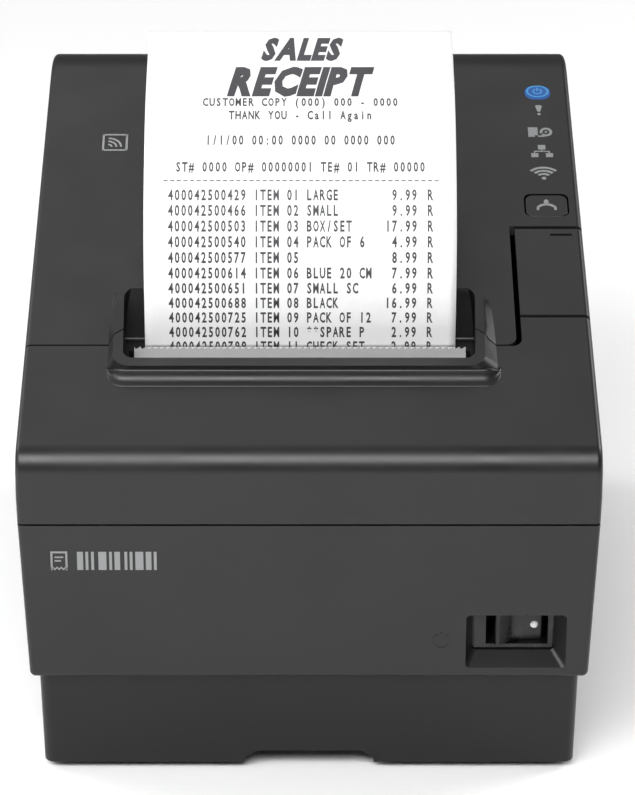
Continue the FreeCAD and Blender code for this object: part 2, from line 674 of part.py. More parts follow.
# ---- chassis, head and feed --------------------------------------------------------
def chassis_frame():
    """Bent sheet channel: two side plates with open platen slots, a floor and a front web."""
    plate = [(22.0, 33.0), (74.0, 33.0), (74.0, 58.0, 6.0), (62.0, 72.0, 6.0), (62.0, 90.0, 1.0),
             (57.6, 90.0), (PLATEN_D + 3.9, PLATEN_Z), (PLATEN_D + 3.9, 82.0), (PLATEN_D - 3.9, 82.0),
             (PLATEN_D - 3.9, 89.4), (22.0, 89.4)]
    slot = rod_x(3.9, -60, 60, PLATEN_D, PLATEN_Z)
    solids = [side_prism(plate, low, high) for low, high in PLATES]
    left, right = PLATES[0][0], PLATES[1][1]
    solids.append(block(left, right, 22.0, 74.0, 33.0, 33.0 + SHEET))
    solids.append(block(left, right, 22.0, 22.0 + SHEET, 33.0, 57.0))
    for x, d in chassis_screw_points():
        solids.append(block(min(x - 3.6, left), max(x + 3.6, right), d - 4, d + 4, 33.0, 33.0 + SHEET))
    frame = joined(solids)
    frame = frame.cut(slot)
    for x, d in chassis_screw_points():
        frame = frame.cut(rod_z(1.6, 30, 36, x, d))
    for d, z, radius in ((LOCK_D, LOCK_Z, LOCK_RADIUS + RUNNING), (*HEAD_PIVOT, 1.5),
                         (REDUCTION_D, REDUCTION_Z, 1.5), (MOTOR_D, MOTOR_Z, 4.2)):
        frame = frame.cut(rod_x(radius, -60, 60, d, z))
    return frame


def head_frame(along, behind):
    """(d, z) at a distance up the head face and a distance behind it."""
    reach = WEB_RADIUS + PAPER_THICK + HEAD_GAP
    face_d, face_z = math.cos(HEAD_ANGLE), math.sin(HEAD_ANGLE)
    return (PLATEN_D + (reach + behind) * face_d + along * face_z,
            PLATEN_Z + (reach + behind) * face_z - along * face_d)


def thermal_head():
    return side_prism([head_frame(-13, 0), head_frame(3.5, 0), head_frame(3.5, 1.2), head_frame(-13, 1.2)],
                      -42.6, 38.1)


def head_bracket():
    """Finned heat sink that carries the head, with lugs round the pivot shaft."""
    body = side_prism([head_frame(-17, 1.2), head_frame(3.5, 1.2), head_frame(2.5, 4.6),
                       head_frame(-17, 4.6)], -42.6, 38.1)
    lugs = [side_prism([head_frame(-16, 1.2), head_frame(-16, 5.4), head_frame(-25, 5.4),
                        head_frame(-25, 0.4), head_frame(-17.4, 0.4)], low, low + 3)
            for low in (-41.0, 33.5)]
    bracket = joined([body] + lugs)
    for groove in range(4):
        along = -13.5 + groove * 3.6
        bracket = bracket.cut(side_prism([head_frame(along, 3.4), head_frame(along + 1.6, 3.4),
                                          head_frame(along + 1.6, 6), head_frame(along, 6)], -38, 31))
    return bracket.cut(rod_x(1.5 + RUNNING, -60, 60, *HEAD_PIVOT))


def head_pivot_shaft():
    return rod_x(1.5, PLATES[0][0] - 0.8, PLATES[1][1] + 0.8, *HEAD_PIVOT)


def coil(start, end, radius, wire, turns):
    """Round-wire helical spring between two (x, d, z) points."""
    a = Vector(start[0], y_of(start[1]), start[2])
    b = Vector(end[0], y_of(end[1]), end[2])
    length = a.distanceToPoint(b)
    helix = Part.makeHelix(length / turns, length, radius)
    ring = Part.Wire(Part.makeCircle(wire, Vector(radius, 0, 0), Vector(0, 1, 0)))
    spring = Part.Wire(helix).makePipeShell([ring], True, True)
    spring.Placement = FreeCAD.Placement(a, FreeCAD.Rotation(Vector(0, 0, 1), b - a))
    return spring


SPRING_XS = (-28.0, PAPER_MID_X, 23.5)


def head_springs():
    return [coil((x, *head_frame(-9, 5.1)), (x, *head_frame(-9, 13.9)), 2.4, 0.35, 6) for x in SPRING_XS]


def spring_seat():
    """Cross member behind the head that its springs push against."""
    ends = [head_frame(-14, 14.4), head_frame(-4.5, 14.4), head_frame(-4.5, 15.6), head_frame(-14, 15.6)]
    return side_prism(ends, PLATES[0][1], PLATES[1][0])


def feed_motor():
    can = rod_x(MOTOR_RADIUS, 52.0, 65.4, MOTOR_D, MOTOR_Z)
    can = can.makeFillet(1.0, [e for e in can.Edges if abs(e.CenterOfMass.x - 65.4) < 1e-6])
    flange = block(51.4, 52.0, MOTOR_D - 16, MOTOR_D + 16, MOTOR_Z - 5, MOTOR_Z + 5)
    boss = rod_x(4.0, 50.2, 52.0, MOTOR_D, MOTOR_Z)
    terminal = block(54.0, 62.0, MOTOR_D - 5, MOTOR_D + 5, MOTOR_Z - MOTOR_RADIUS - 2.5, MOTOR_Z - 8)
    return joined([can, flange, boss, terminal]).cut(rod_x(1.05, 48, 58, MOTOR_D, MOTOR_Z))


def motor_pinion():
    pinion = gear_x(PINION_TEETH, MODULE, GEAR_LOW, GEAR_HIGH, MOTOR_D, MOTOR_Z, 0)
    return joined([pinion, rod_x(1.0, GEAR_LOW, 57.5, MOTOR_D, MOTOR_Z)])


def reduction_gear():
    return gear_x(REDUCTION_TEETH, MODULE, GEAR_LOW, GEAR_HIGH, REDUCTION_D, REDUCTION_Z, 1.5 + RUNNING)


def gear_studs():
    """Studs that the reduction gear and the cutter gear turn on."""
    return [rod_x(1.5, PLATES[1][0], GEAR_HIGH + 1.6, REDUCTION_D, REDUCTION_Z),
            rod_z(1.5, 83.2, 88.9, CUTTER_GEAR_X, CUTTER_GEAR_D)]


def gear_plate():
    """Outer plate of the feed train; it carries the motor and is spaced off the chassis."""
    plate = side_prism([(27.0, 38.0, 3.0), (56.0, 38.0, 3.0), (56.0, 76.0, 3.0), (38.0, 76.0, 3.0),
                        (20.5, 58.0, 2.0), (20.5, 49.0, 2.0), (27.0, 49.0, 1.0)], 50.2, 51.4)
    plate = plate.cut(rod_x(4.05, 50, 52, MOTOR_D, MOTOR_Z)).cut(
        rod_x(1.5, 50, 52, REDUCTION_D, REDUCTION_Z))
    spacers = [rod_x(1.8, PLATES[1][1], 50.3, d, z) for d, z in ((30.0, 41.0), (53.5, 46.0))]
    return joined([plate] + spacers).cut(rod_x(LOCK_RADIUS + 0.5, 50, 52, LOCK_D, LOCK_Z))


def lock_shaft():
    return rod_x(LOCK_RADIUS, -52.0, 60.0, LOCK_D, LOCK_Z)


def lock_hooks():
    """Two latch hooks beside the chassis plates and the arm that the open lever lifts."""
    hook = [(24.4, 64.0, 2.0), (31.5, 63.6, 2.0), (44.4, 80.6), (46.6, 86.4), (48.2, 86.8), (47.2, 89.0, 0.6),
            (43.6, 88.8, 2.0), (38.0, 82.0), (25.0, 72.0, 2.0)]
    arm = [(25.0, 65.4, 2.0), (31.0, 65.6, 2.0), (45.0, 84.5, 6.0), (66.0, 90.0), (66.0, 92.6, 1.0),
           (43.5, 89.8, 6.0), (25.0, 71.8, 2.0)]
    solids = [side_prism(hook, -49.4, -47.6), side_prism(hook, 43.2, 44.6), side_prism(arm, 58.0, 60.0)]
    return [solid.cut(rod_x(LOCK_RADIUS, -80, 80, LOCK_D, LOCK_Z)) for solid in solids]


def lock_spring():
    return coil((-49.4, 23.9, 66.0), (-49.4, 10.0, 66.0), 2.2, 0.35, 9)


def spring_anchor():
    """Tab on the left chassis plate that holds the still end of the lock spring."""
    tab = block(-52.0, PLATES[0][0], 8.0, 9.4, 62.5, 69.5)
    arm = block(PLATES[0][0] - 1.2, PLATES[0][0], 8.0, 26.0, 58.5, 63.5)
    return joined([tab, arm])


def lever_pin():
    return rod_x(LEVER_PIN_RADIUS, 54.9, 67.3, *lever_pin_place())


def lever_bracket():
    """Bracket on the case side wall with an ear at each end of the lever pin."""
    pin_d, pin_z = lever_pin_place()
    floor = side_prism([(48.2, 93.4), (55.0, 93.4), (55.0, 94.8), (48.2, 94.8)], 54.9, 69.8)
    ears = [joined([rod_x(1.5, low, low + 1.2, pin_d, pin_z),
                    block(low, low + 1.2, pin_d - 1.5, pin_d + 1.5, 94.0, pin_z)])
            for low in (54.9, 66.1)]
    return joined([floor] + ears).cut(rod_x(LEVER_PIN_RADIUS, 50, 70, pin_d, pin_z))


# ---- cutter ------------------------------------------------------------------------
def cutter_frame():
    """Lower bed, upper guide and side rails of the blade, with the gear and motor shelf."""
    lower = block(-46.6, 42.8, 12.0, 42.4, 89.4, 91.1)
    lower = lower.cut(rod_z(6.7, 88, 92, CUTTER_GEAR_X, CUTTER_GEAR_D))
    upper = block(-44.6, 40.1, 24.0, 41.2, 92.6, 94.0)
    rails = [block(low, low + 1.4, 24.0, 41.2, 91.0, 92.7) for low in (-44.6, 38.7)]
    shelf = plan_prism([(-38, 6.4, 2), (-12, 6.4, 2), (-12, 31, 2), (-38, 31, 2)], 83.2, 84.4)
    riser = block(-38.0, -35.0, 12.0, 31.0, 83.2, 89.5)
    frame = joined([lower, upper, shelf, riser] + rails)
    for x, d, radius in ((CUTTER_GEAR_X, CUTTER_GEAR_D, 1.5), (CUTTER_MOTOR_X, CUTTER_MOTOR_D, 2.0)):
        frame = frame.cut(rod_z(radius, 80, 85, x, d))
    return frame


def cutter_blade():
    mid = PAPER_MID_X
    blade = plan_prism([(-42.5, 16.0, 1), (38.0, 16.0, 1), (38.0, 41.8), (mid + 2.2, 35.5), (mid + 2.2, 33.0, 0.8),
                        (mid - 2.2, 33.0, 0.8), (mid - 2.2, 35.5), (-42.5, 41.8)],
                       BLADE_Z, BLADE_Z + BLADE_THICK)
    pin_d = CUTTER_GEAR_D - CRANK
    yoke = plan_prism([(CUTTER_GEAR_X - 6.6, pin_d - 2.4, 1.5), (CUTTER_GEAR_X + 6.6, pin_d - 2.4, 1.5),
                       (CUTTER_GEAR_X + 6.6, pin_d + 2.4, 1.5), (CUTTER_GEAR_X - 6.6, pin_d + 2.4, 1.5)],
                      BLADE_Z - 1, BLADE_Z + 2)
    return blade.cut(yoke)


def gear_z(teeth, z_low, z_high, x, d, bore):
    """The same gear about an upright axis."""
    gear = gear_x(teeth, MODULE, z_low, z_high, DEPTH / 2, 0.0, bore)
    gear.rotate(Vector(), Vector(0, 1, 0), -90)
    gear.translate(Vector(x, y_of(d), 0))
    return gear


def cutter_gear():
    gear = gear_z(CUTTER_TEETH, 84.9, 88.5, CUTTER_GEAR_X, CUTTER_GEAR_D, 1.5 + RUNNING)
    return joined([gear, rod_z(1.2, 88.4, 92.1, CUTTER_GEAR_X, CUTTER_GEAR_D - CRANK)])


def cutter_pinion():
    pinion = gear_z(CUTTER_PINION_TEETH, 84.9, 88.5, CUTTER_MOTOR_X, CUTTER_MOTOR_D, 0)
    return joined([pinion, rod_z(0.9, 76.0, 85.0, CUTTER_MOTOR_X, CUTTER_MOTOR_D)])


def cutter_motor():
    can = rod_z(7.0, 60.0, 82.6, CUTTER_MOTOR_X, CUTTER_MOTOR_D)
    can = can.makeFillet(1.0, [e for e in can.Edges if abs(e.CenterOfMass.z - 82.6) < 1e-6])
    cap = rod_z(2.0, 82.4, 84.2, CUTTER_MOTOR_X, CUTTER_MOTOR_D)
    return joined([can, cap]).cut(rod_z(0.95, 75.5, 85, CUTTER_MOTOR_X, CUTTER_MOTOR_D))


TEAR_TILT = 30.0            # degrees that the bar leans back


def tear_bar():
    """Thin steel bar with a finely serrated edge, leaning back from a foot on the upper guide."""
    low, high, top = -44.7, 40.1, 101.3
    foot = block(low, high, 34.0, 40.0, 94.0, 94.8)
    pitch = 1.6
    teeth = int((high - low) / pitch)
    edge = [(low, 93.6), (high, 93.6)]
    for tooth in range(teeth, -1, -1):
        edge += [(low + tooth * pitch + 0.4, top - 0.6), (low + tooth * pitch, top)]
    edge = [(min(x, high), z) for x, z in edge]
    bar = front_prism(edge, 41.7, 42.4)
    bar.rotate(Vector(0, y_of(42.4), top), Vector(1, 0, 0), -TEAR_TILT)
    return joined([foot, bar])


# ---- paper bay ---------------------------------------------------------------------
def roll_holder():
    """Deck inside the case with the drop-in bowl for the roll and the ramp to the head."""
    thick = 2.2
    deck = [block(-69.3, BAY_LEFT - thick, 78.0, 181.5, DECK_TOP - thick, DECK_TOP),
            block(BAY_RIGHT + thick, 69.3, 78.0, 181.5, DECK_TOP - thick, DECK_TOP),
            block(BAY_LEFT - thick, BAY_RIGHT + thick, 165.0, 181.5, DECK_TOP - thick, DECK_TOP)]
    below = block(-60, 60, 107.0, 190, 30, DECK_TOP)
    bowl = rod_x(BOWL_RADIUS + thick, BAY_LEFT - thick, BAY_RIGHT + thick, ROLL_D, BOWL_Z).common(below)
    cheeks = [side_prism([(78.0, 59.0), (107.0, 44.0), (120.0, 39.8), (120.0, DECK_TOP), (78.0, DECK_TOP)],
                         low, low + thick) for low in (BAY_LEFT - thick, BAY_RIGHT)]
    ramp = side_prism([(107.5, 46.0), (66.0, 66.5), (66.0, 64.3), (107.5, 43.8)],
                      BAY_LEFT, BAY_RIGHT)
    room = rod_x(BOWL_RADIUS, BAY_LEFT, BAY_RIGHT, ROLL_D, BOWL_Z)
    return joined([joined([bowl] + deck).cut(room), ramp] + cheeks)


def paper_sensor():
    return block(-8.0, 2.0, 84.0, 92.0, 46.0, 50.6)


# ---- boards and ports --------------------------------------------------------------
def main_board():
    board = plan_prism([(-45, 30, 2), (45, 30, 2), (45, 156, 2), (-45, 156, 2)], BOARD_Z, BOARD_Z + 1.6)
    for x, d in board_screw_points():
        board = board.cut(rod_z(1.6, 10, 15, x, d))
    return board


def board_components():
    top = BOARD_Z + 1.6
    chips = [(-20, 70, 14, 14, 1.4), (12, 62, 10, 18, 1.6), (18, 100, 12, 12, 1.4), (-24, 112, 8, 10, 1.6),
             (-2, 140, 24, 6, 8.0), (-25, 40, 18, 5, 6.0), (22, 40, 14, 5, 6.0), (30, 135, 10, 10, 5.0)]
    solids = [block(x - w / 2, x + w / 2, d - l / 2, d + l / 2, top, top + h) for x, d, w, l, h in chips]
    solids += [rod_z(4.0, top, top + 11.0, x, d) for x, d in ((34, 90), (34, 101), (34, 112))]
    return solids


PORT_BACK_D, PORT_FACE_D = 179.0, 194.2
PORTS = {                   # middle x, width, height, socket width, socket height
    "ethernet_port": (-18.0, 16.2, 13.6, 12.2, 8.6),
    "usb_port": (4.0, 12.4, 11.8, 8.6, 7.8),
    "drawer_port": (-42.0, 13.8, 12.6, 10.0, 7.4),
    "dc_inlet": (26.0, 13.0, 12.6, 0.0, 0.0),
}
PORT_TOP = PORT_BOARD_Z + 1.6


def port(name):
    """Connector shell on the port board, with its socket open at the rear."""
    x, width, height, socket_width, socket_height = PORTS[name]
    shell = block(x - width / 2, x + width / 2, PORT_BACK_D, PORT_FACE_D, PORT_TOP, PORT_TOP + height)
    mid_z = PORT_TOP + height / 2
    if socket_width == 0:
        socket = rod_y(4.4, PORT_FACE_D - 10, PORT_FACE_D + 1, x, mid_z)
        pin = rod_y(1.0, PORT_FACE_D - 10.5, PORT_FACE_D - 1.5, x, mid_z)
        return joined([shell.cut(socket), pin])
    low, high = x - socket_width / 2, x + socket_width / 2
    shell = shell.cut(block(low, high, PORT_FACE_D - 11, PORT_FACE_D + 1,
                            mid_z - socket_height / 2, mid_z + socket_height / 2))
    if name == "usb_port":
        tongue = block(x - 2.6, x + 2.6, PORT_FACE_D - 11.5, PORT_FACE_D - 2, mid_z - 1.4, mid_z + 1.4)
        return joined([shell, tongue])
    return shell


def rear_panel():
    panel = block(-65.5, 39.5, 191.3, 192.5, 30.9, 56.0)
    for x, width, height, *_ in PORTS.values():
        panel = panel.cut(block(x - width / 2 - 0.2, x + width / 2 + 0.2, 190, 194,
                                PORT_TOP - 0.2, PORT_TOP + height + 0.2))
    return panel


def port_board():
    board = plan_prism([(-54, 158), (36, 158), (36, 191), (-54, 191)], PORT_BOARD_Z, PORT_TOP)
    for x, d in port_screw_points():
        board = board.cut(rod_z(1.6, 30, 36, x, d))
    return board


def head_cable():
    return strip([(55.5, 57.0), (78.5, 50.5, 6.0), (78.5, 15.0)], 0.3, -22.0, 4.0)


# ---- power switch ------------------------------------------------------------------
ROCKER_X, ROCKER_PIVOT_D = 53.1, 9.0
ROCKER_BOTTOM, ROCKER_TOP = 35.8, 44.3
ROCKER_PIN_RADIUS = 1.2


def switch_housing():
    """Gloss body behind the recess, with a pocket for the rocker."""
    front = block(SWITCH_LEFT + 0.4, SWITCH_RIGHT - 0.4, 4.6, 5.3, SWITCH_BOTTOM + 0.4, SWITCH_TOP - 0.4)
    body = block(SWITCH_LEFT - 1.2, SWITCH_RIGHT + 1.2, 5.3, 21.0, SWITCH_BOTTOM - 1.6, SWITCH_TOP + 1.4)
    pocket = block(44.7, 60.4, 0, 17.0, ROCKER_BOTTOM - 0.2, ROCKER_TOP + 0.2)
    pivot = rod_z(ROCKER_PIN_RADIUS, ROCKER_BOTTOM - 0.7, ROCKER_TOP + 0.7, ROCKER_X, ROCKER_PIVOT_D)
    terminals = [block(x - 2.4, x + 2.4, 21.0, 25.0, 40.0, 40.8) for x in (46.5, 54.5)]
    return joined([joined([front, body]).cut(pocket), pivot] + terminals)


def power_rocker():
    outline = [(46.9, 2.6, 0.8), (52.2, 6.4, 5.0), (59.3, 7.0, 0.8), (59.3, 11.0, 1.0), (56.4, 14.4, 1.0),
               (49.8, 14.4, 1.0), (46.9, 11.0, 1.0)]
    rocker = plan_prism(outline, ROCKER_BOTTOM, ROCKER_TOP)
    pin = rod_z(ROCKER_PIN_RADIUS + RUNNING, 30, 50, ROCKER_X, ROCKER_PIVOT_D)
    return rocker.cut(pin)


def screws():
    below = [screw(x, d, 6.0, 14.0, up=False) for x, d in case_screw_points()]
    return {
        "case_screws": below,
        "board_screws": [screw(x, d, BOARD_Z + 1.6, 4.5) for x, d in board_screw_points()]
        + [screw(x, d, PORT_TOP, 8.0) for x, d in port_screw_points()],
        "chassis_screws": [screw(x, d, PORT_BOARD_Z + SHEET, 9.0) for x, d in chassis_screw_points()],
        "cover_screws": [screw(x, d, 105.9, 7.0, 1.2, up=False) for x, d in frame_screw_points()],
    }


def main():
    os.makedirs(PARTS, exist_ok=True)
    shell = cover_shell()
    export("roll_cover", roll_cover(shell))
    export("cutter_cover", cutter_cover(shell))
    export("open_lever", open_lever(shell))
    export("main_case", main_case(shell))
    export("rubber_feet", *rubber_feet())
    export("hinge_pins", *hinge_pins())
    export("platen_bushings", *platen_bushings())
    export("head_springs", *head_springs())
    export("gear_studs", *gear_studs())
    export("lock_hooks", *lock_hooks())
    export("board_components", *board_components())
    for name in PORTS:
        export(name, port(name))
    for name, solids in screws().items():
        export(name, *solids)
    single = (
        base_tray, feed_button, power_lens, panel_board, paper_web, receipt, paper_roll, roll_core,
        platen_roller, platen_shaft, platen_gear, platen_frame, fixed_blade, chassis_frame,
        thermal_head, head_bracket, head_pivot_shaft, spring_seat, feed_motor, motor_pinion,
        reduction_gear, gear_plate, lock_shaft, lock_spring, spring_anchor, lever_pin,
        lever_bracket, cutter_frame, cutter_blade, cutter_gear, cutter_pinion,
        cutter_motor, tear_bar, roll_holder, paper_sensor, main_board, port_board, rear_panel,
        head_cable, switch_housing, power_rocker,
    )
    for make in single:
        export(make.__name__, make())


main()
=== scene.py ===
import json
import math

import bmesh
import bpy
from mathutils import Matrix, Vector


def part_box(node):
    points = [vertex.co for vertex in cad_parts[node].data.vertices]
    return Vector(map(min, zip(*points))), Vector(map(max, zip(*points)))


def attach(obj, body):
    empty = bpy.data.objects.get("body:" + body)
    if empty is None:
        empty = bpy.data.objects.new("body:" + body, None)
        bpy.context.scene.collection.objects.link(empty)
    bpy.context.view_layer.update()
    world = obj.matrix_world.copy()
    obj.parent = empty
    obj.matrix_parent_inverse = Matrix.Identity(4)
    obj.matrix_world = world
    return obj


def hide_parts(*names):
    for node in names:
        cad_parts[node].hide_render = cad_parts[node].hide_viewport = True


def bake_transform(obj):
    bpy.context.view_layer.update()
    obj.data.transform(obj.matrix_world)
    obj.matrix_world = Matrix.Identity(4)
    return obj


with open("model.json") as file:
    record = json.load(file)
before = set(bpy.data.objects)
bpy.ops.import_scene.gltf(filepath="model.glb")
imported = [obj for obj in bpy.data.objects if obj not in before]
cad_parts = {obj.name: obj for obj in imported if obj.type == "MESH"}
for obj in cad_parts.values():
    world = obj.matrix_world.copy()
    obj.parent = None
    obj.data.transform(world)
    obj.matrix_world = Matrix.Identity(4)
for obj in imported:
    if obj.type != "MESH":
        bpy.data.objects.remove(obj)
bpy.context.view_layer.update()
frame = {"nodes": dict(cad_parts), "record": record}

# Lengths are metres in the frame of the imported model: +X right, -Y front, +Z up.
# "d" is a distance behind the front face in millimetres, measured towards +Y. The drawings of
# marks and print, the collar fillet and the receipt's path are in millimetres too.
MM = 0.001
NODES = frame["nodes"]


# ---- places worked out from the frame -----------------------------------------------
BUTTON_LOW, BUTTON_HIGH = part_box("feed_button")
LENS_LOW, LENS_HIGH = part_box("power_lens")
RECEIPT_LOW, RECEIPT_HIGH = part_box("receipt")
WEB_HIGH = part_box("paper_web")[1]
ROLL_LOW, ROLL_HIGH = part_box("paper_roll")
ROCKER_LOW, ROCKER_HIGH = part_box("power_rocker")
FRONT_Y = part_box("main_case")[0].y
BUTTON_X = (BUTTON_LOW.x + BUTTON_HIGH.x) / 2
LENS_X = (LENS_LOW.x + LENS_HIGH.x) / 2
SLOPE_UP, SLOPE_FORWARD = 0.85, 0.3     # least upward and forward parts of the sloping top's normal


def at_depth(d):
    """Y of a point d millimetres behind the front face."""
    return FRONT_Y + d * MM


def depth_of(y):
    """Millimetres behind the front face of a point at y."""
    return y / MM - FRONT_Y / MM


def sloping_face():
    """The largest flat face of the roll cover, which is its sloping top."""
    faces = NODES["roll_cover"].data.polygons
    sloping = [face for face in faces
               if face.normal.z > SLOPE_UP and face.normal.y < -SLOPE_FORWARD]
    return max(sloping, key=lambda face: face.area)


TOP_NORMAL = sloping_face().normal.copy()
TOP_CENTRE = sloping_face().center.copy()
TOP_RISE = -TOP_NORMAL.y / TOP_NORMAL.z
SLOPE = math.atan(TOP_RISE)


def on_top(x, y, lift=0.0):
    """Point on the sloping top at (x, y), lifted off it along its normal."""
    z = TOP_CENTRE.z + (y - TOP_CENTRE.y) * TOP_RISE
    return Vector((x, y, z)) + TOP_NORMAL * lift


# ---- camera ------------------------------------------------------------------------
CAMERA_HEIGHT = 0.40958
CAMERA_BEFORE_FRONT = 0.71695
CAMERA_PITCH = math.radians(23.0)
LENS_MM = 144.9
SENSOR_MM = 36.0
SHIFT_X = 0.0107


def make_camera():
    data = bpy.data.cameras.new("camera")
    data.lens = LENS_MM
    data.sensor_width = SENSOR_MM
    data.shift_x = SHIFT_X
    camera = bpy.data.objects.new("camera", data)
    camera.location = (0.0, FRONT_Y - CAMERA_BEFORE_FRONT, CAMERA_HEIGHT)
    camera.rotation_euler = (math.pi / 2 - CAMERA_PITCH, 0.0, 0.0)
    bpy.context.scene.collection.objects.link(camera)
    bpy.context.scene.camera = camera


# ---- materials ---------------------------------------------------------------------
MIDDLE_START, MIDDLE_END = 0.3, 0.7     # where most values of a noise texture lie


class Surface:
    """A node material built round one Principled shader."""

    def __init__(self, name, colour, roughness, **sockets):
        self.material = bpy.data.materials.new(name)
        self.material.use_nodes = True
        self.tree = self.material.node_tree
        self.shader = self.tree.nodes["Principled BSDF"]
        self.set("Base Color", (*colour, 1.0))
        self.set("Roughness", roughness)
        for socket, value in sockets.items():
            self.set(socket.replace("_", " "), value)
        self.material.diffuse_color = (*colour, 1.0)
        self.normal = None

    def set(self, socket, value):
        self.shader.inputs[socket].default_value = value

    def node(self, kind, **settings):
        node = self.tree.nodes.new(kind)
        for key, value in settings.items():
            if key in node.inputs:
                node.inputs[key].default_value = value
            else:
                setattr(node, key, value)
        return node

    def link(self, source, target):
        self.tree.links.new(source, target)

    def coordinates(self, stretch=(1.0, 1.0, 1.0)):
        place = self.node("ShaderNodeTexCoord")
        mapping = self.node("ShaderNodeMapping")
        mapping.inputs["Scale"].default_value = stretch
        self.link(place.outputs["Object"], mapping.inputs["Vector"])
        return mapping.outputs["Vector"]

    def noise(self, scale, detail=2.0, stretch=(1.0, 1.0, 1.0), roughness=0.5):
        texture = self.node("ShaderNodeTexNoise", Scale=scale, Detail=detail, Roughness=roughness)
        self.link(self.coordinates(stretch), texture.inputs["Vector"])
        return texture.outputs["Fac"]

    def ramp(self, source, low, high):
        """Blend between two colours over the middle part of a 0 to 1 value."""
        ramp = self.node("ShaderNodeValToRGB")
        ramp.color_ramp.elements[0].position = MIDDLE_START
        ramp.color_ramp.elements[0].color = (*low, 1.0)
        ramp.color_ramp.elements[1].position = MIDDLE_END
        ramp.color_ramp.elements[1].color = (*high, 1.0)
        self.link(source, ramp.inputs["Fac"])
        return ramp.outputs["Color"]

    def spread(self, source, low, high):
        """Map the middle part of a 0 to 1 value to low to high."""
        spread = self.node("ShaderNodeMapRange")
        spread.inputs["From Min"].default_value = MIDDLE_START
        spread.inputs["From Max"].default_value = MIDDLE_END
        spread.inputs["To Min"].default_value = low
        spread.inputs["To Max"].default_value = high
        self.link(source, spread.inputs["Value"])
        return spread.outputs["Result"]

    def colour_from(self, output):
        self.link(output, self.shader.inputs["Base Color"])

    def roughness_from(self, output):
        self.link(output, self.shader.inputs["Roughness"])

    def bump(self, height, strength, distance):
        """Stack a bump on the surface; distance is in metres."""
        bump = self.node("ShaderNodeBump", Strength=strength, Distance=distance)
        self.link(height, bump.inputs["Height"])
        if self.normal is not None:
            self.link(self.normal, bump.inputs["Normal"])
        self.normal = bump.outputs["Normal"]
        self.link(self.normal, self.shader.inputs["Normal"])


def shade(colour, factor):
    return tuple(channel * factor for channel in colour)


def moulded(name, colour, roughness, grain=0.00022, depth=0.00002, mottling=0.05, **sockets):
    """Moulded plastic: grain of a size and depth in metres, flow mottling, handling sheen."""
    surface = Surface(name, colour, roughness, **sockets)
    flow = surface.noise(28.0, 3.0)
    surface.colour_from(surface.ramp(flow, shade(colour, 1 - mottling), shade(colour, 1 + mottling)))
    surface.roughness_from(surface.spread(surface.noise(55.0, 4.0), roughness - 0.05, roughness + 0.05))
    surface.bump(surface.noise(1.0 / grain, 3.0, roughness=0.65), 0.55, depth)
    surface.bump(surface.noise(0.25 / grain, 2.0), 0.25, depth)
    return surface.material


def polished(name, colour, roughness, **sockets):
    """Gloss plastic with faint waviness and fingerprints in the gloss."""
    surface = Surface(name, colour, roughness, **sockets)
    surface.colour_from(surface.ramp(surface.noise(40.0), shade(colour, 0.9), shade(colour, 1.12)))
    surface.roughness_from(surface.spread(surface.noise(220.0, 4.0), roughness * 0.7, roughness * 1.6))
    surface.bump(surface.noise(160.0, 1.0), 0.2, 0.00001)
    return surface.material


def metal(name, colour, roughness, brush=(1.0, 60.0, 60.0), depth=0.000008):
    """Rolled, ground or plated metal with brushing drawn out along X."""
    surface = Surface(name, colour, roughness, Metallic=1.0)
    lines = surface.noise(180.0, 4.0, brush, 0.7)
    surface.colour_from(surface.ramp(lines, shade(colour, 0.86), shade(colour, 1.06)))
    surface.roughness_from(surface.spread(lines, roughness - 0.07, roughness + 0.09))
    surface.bump(lines, 0.35, depth)
    return surface.material


def lit_plastic(name, colour, glow):
    """Polished plastic with a lamp behind it."""
    material = polished(name, colour, 0.35)
    shader = material.node_tree.nodes["Principled BSDF"]
    shader.inputs["Emission Color"].default_value = (*glow, 1.0)
    shader.inputs["Emission Strength"].default_value = 0.35
    return material


def rubber(name, colour, roughness):
    surface = Surface(name, colour, roughness)
    surface.set("Specular IOR Level", 0.35)
    surface.colour_from(surface.ramp(surface.noise(120.0, 4.0), shade(colour, 0.8), shade(colour, 1.35)))
    surface.bump(surface.noise(3800.0, 3.0), 0.5, 0.00003)
    return surface.material


def thermal_paper(name, colour):
    """Smooth coated paper with a trace of fibre."""
    surface = Surface(name, colour, 0.5)
    surface.set("Specular IOR Level", 0.3)
    fibre = surface.noise(900.0, 5.0, (1.0, 1.0, 0.35), 0.7)
    surface.colour_from(surface.ramp(fibre, shade(colour, 0.965), colour))
    surface.bump(fibre, 0.25, 0.00002)
    return surface.material


def wound_paper(name, colour):
    """Roll of paper: fine rings on its ends, from the distance to the roll's axis."""
    surface = Surface(name, colour, 0.55)
    middle = (ROLL_LOW + ROLL_HIGH) / 2
    place = surface.node("ShaderNodeTexCoord")
    offset = surface.node("ShaderNodeVectorMath", operation="SUBTRACT")
    offset.inputs[1].default_value = (0.0, middle.y, middle.z)
    flat = surface.node("ShaderNodeVectorMath", operation="MULTIPLY")
    flat.inputs[1].default_value = (0.0, 1.0, 1.0)
    reach = surface.node("ShaderNodeVectorMath", operation="LENGTH")
    rings = surface.node("ShaderNodeTexNoise", Scale=2600.0, Detail=3.0, noise_dimensions="1D")
    surface.link(place.outputs["Object"], offset.inputs[0])
    surface.link(offset.outputs["Vector"], flat.inputs[0])
    surface.link(flat.outputs["Vector"], reach.inputs[0])
    surface.link(reach.outputs["Value"], rings.inputs["W"])
    surface.colour_from(surface.ramp(rings.outputs["Fac"], shade(colour, 0.80), colour))
    surface.bump(rings.outputs["Fac"], 0.4, 0.00006)
    return surface.material


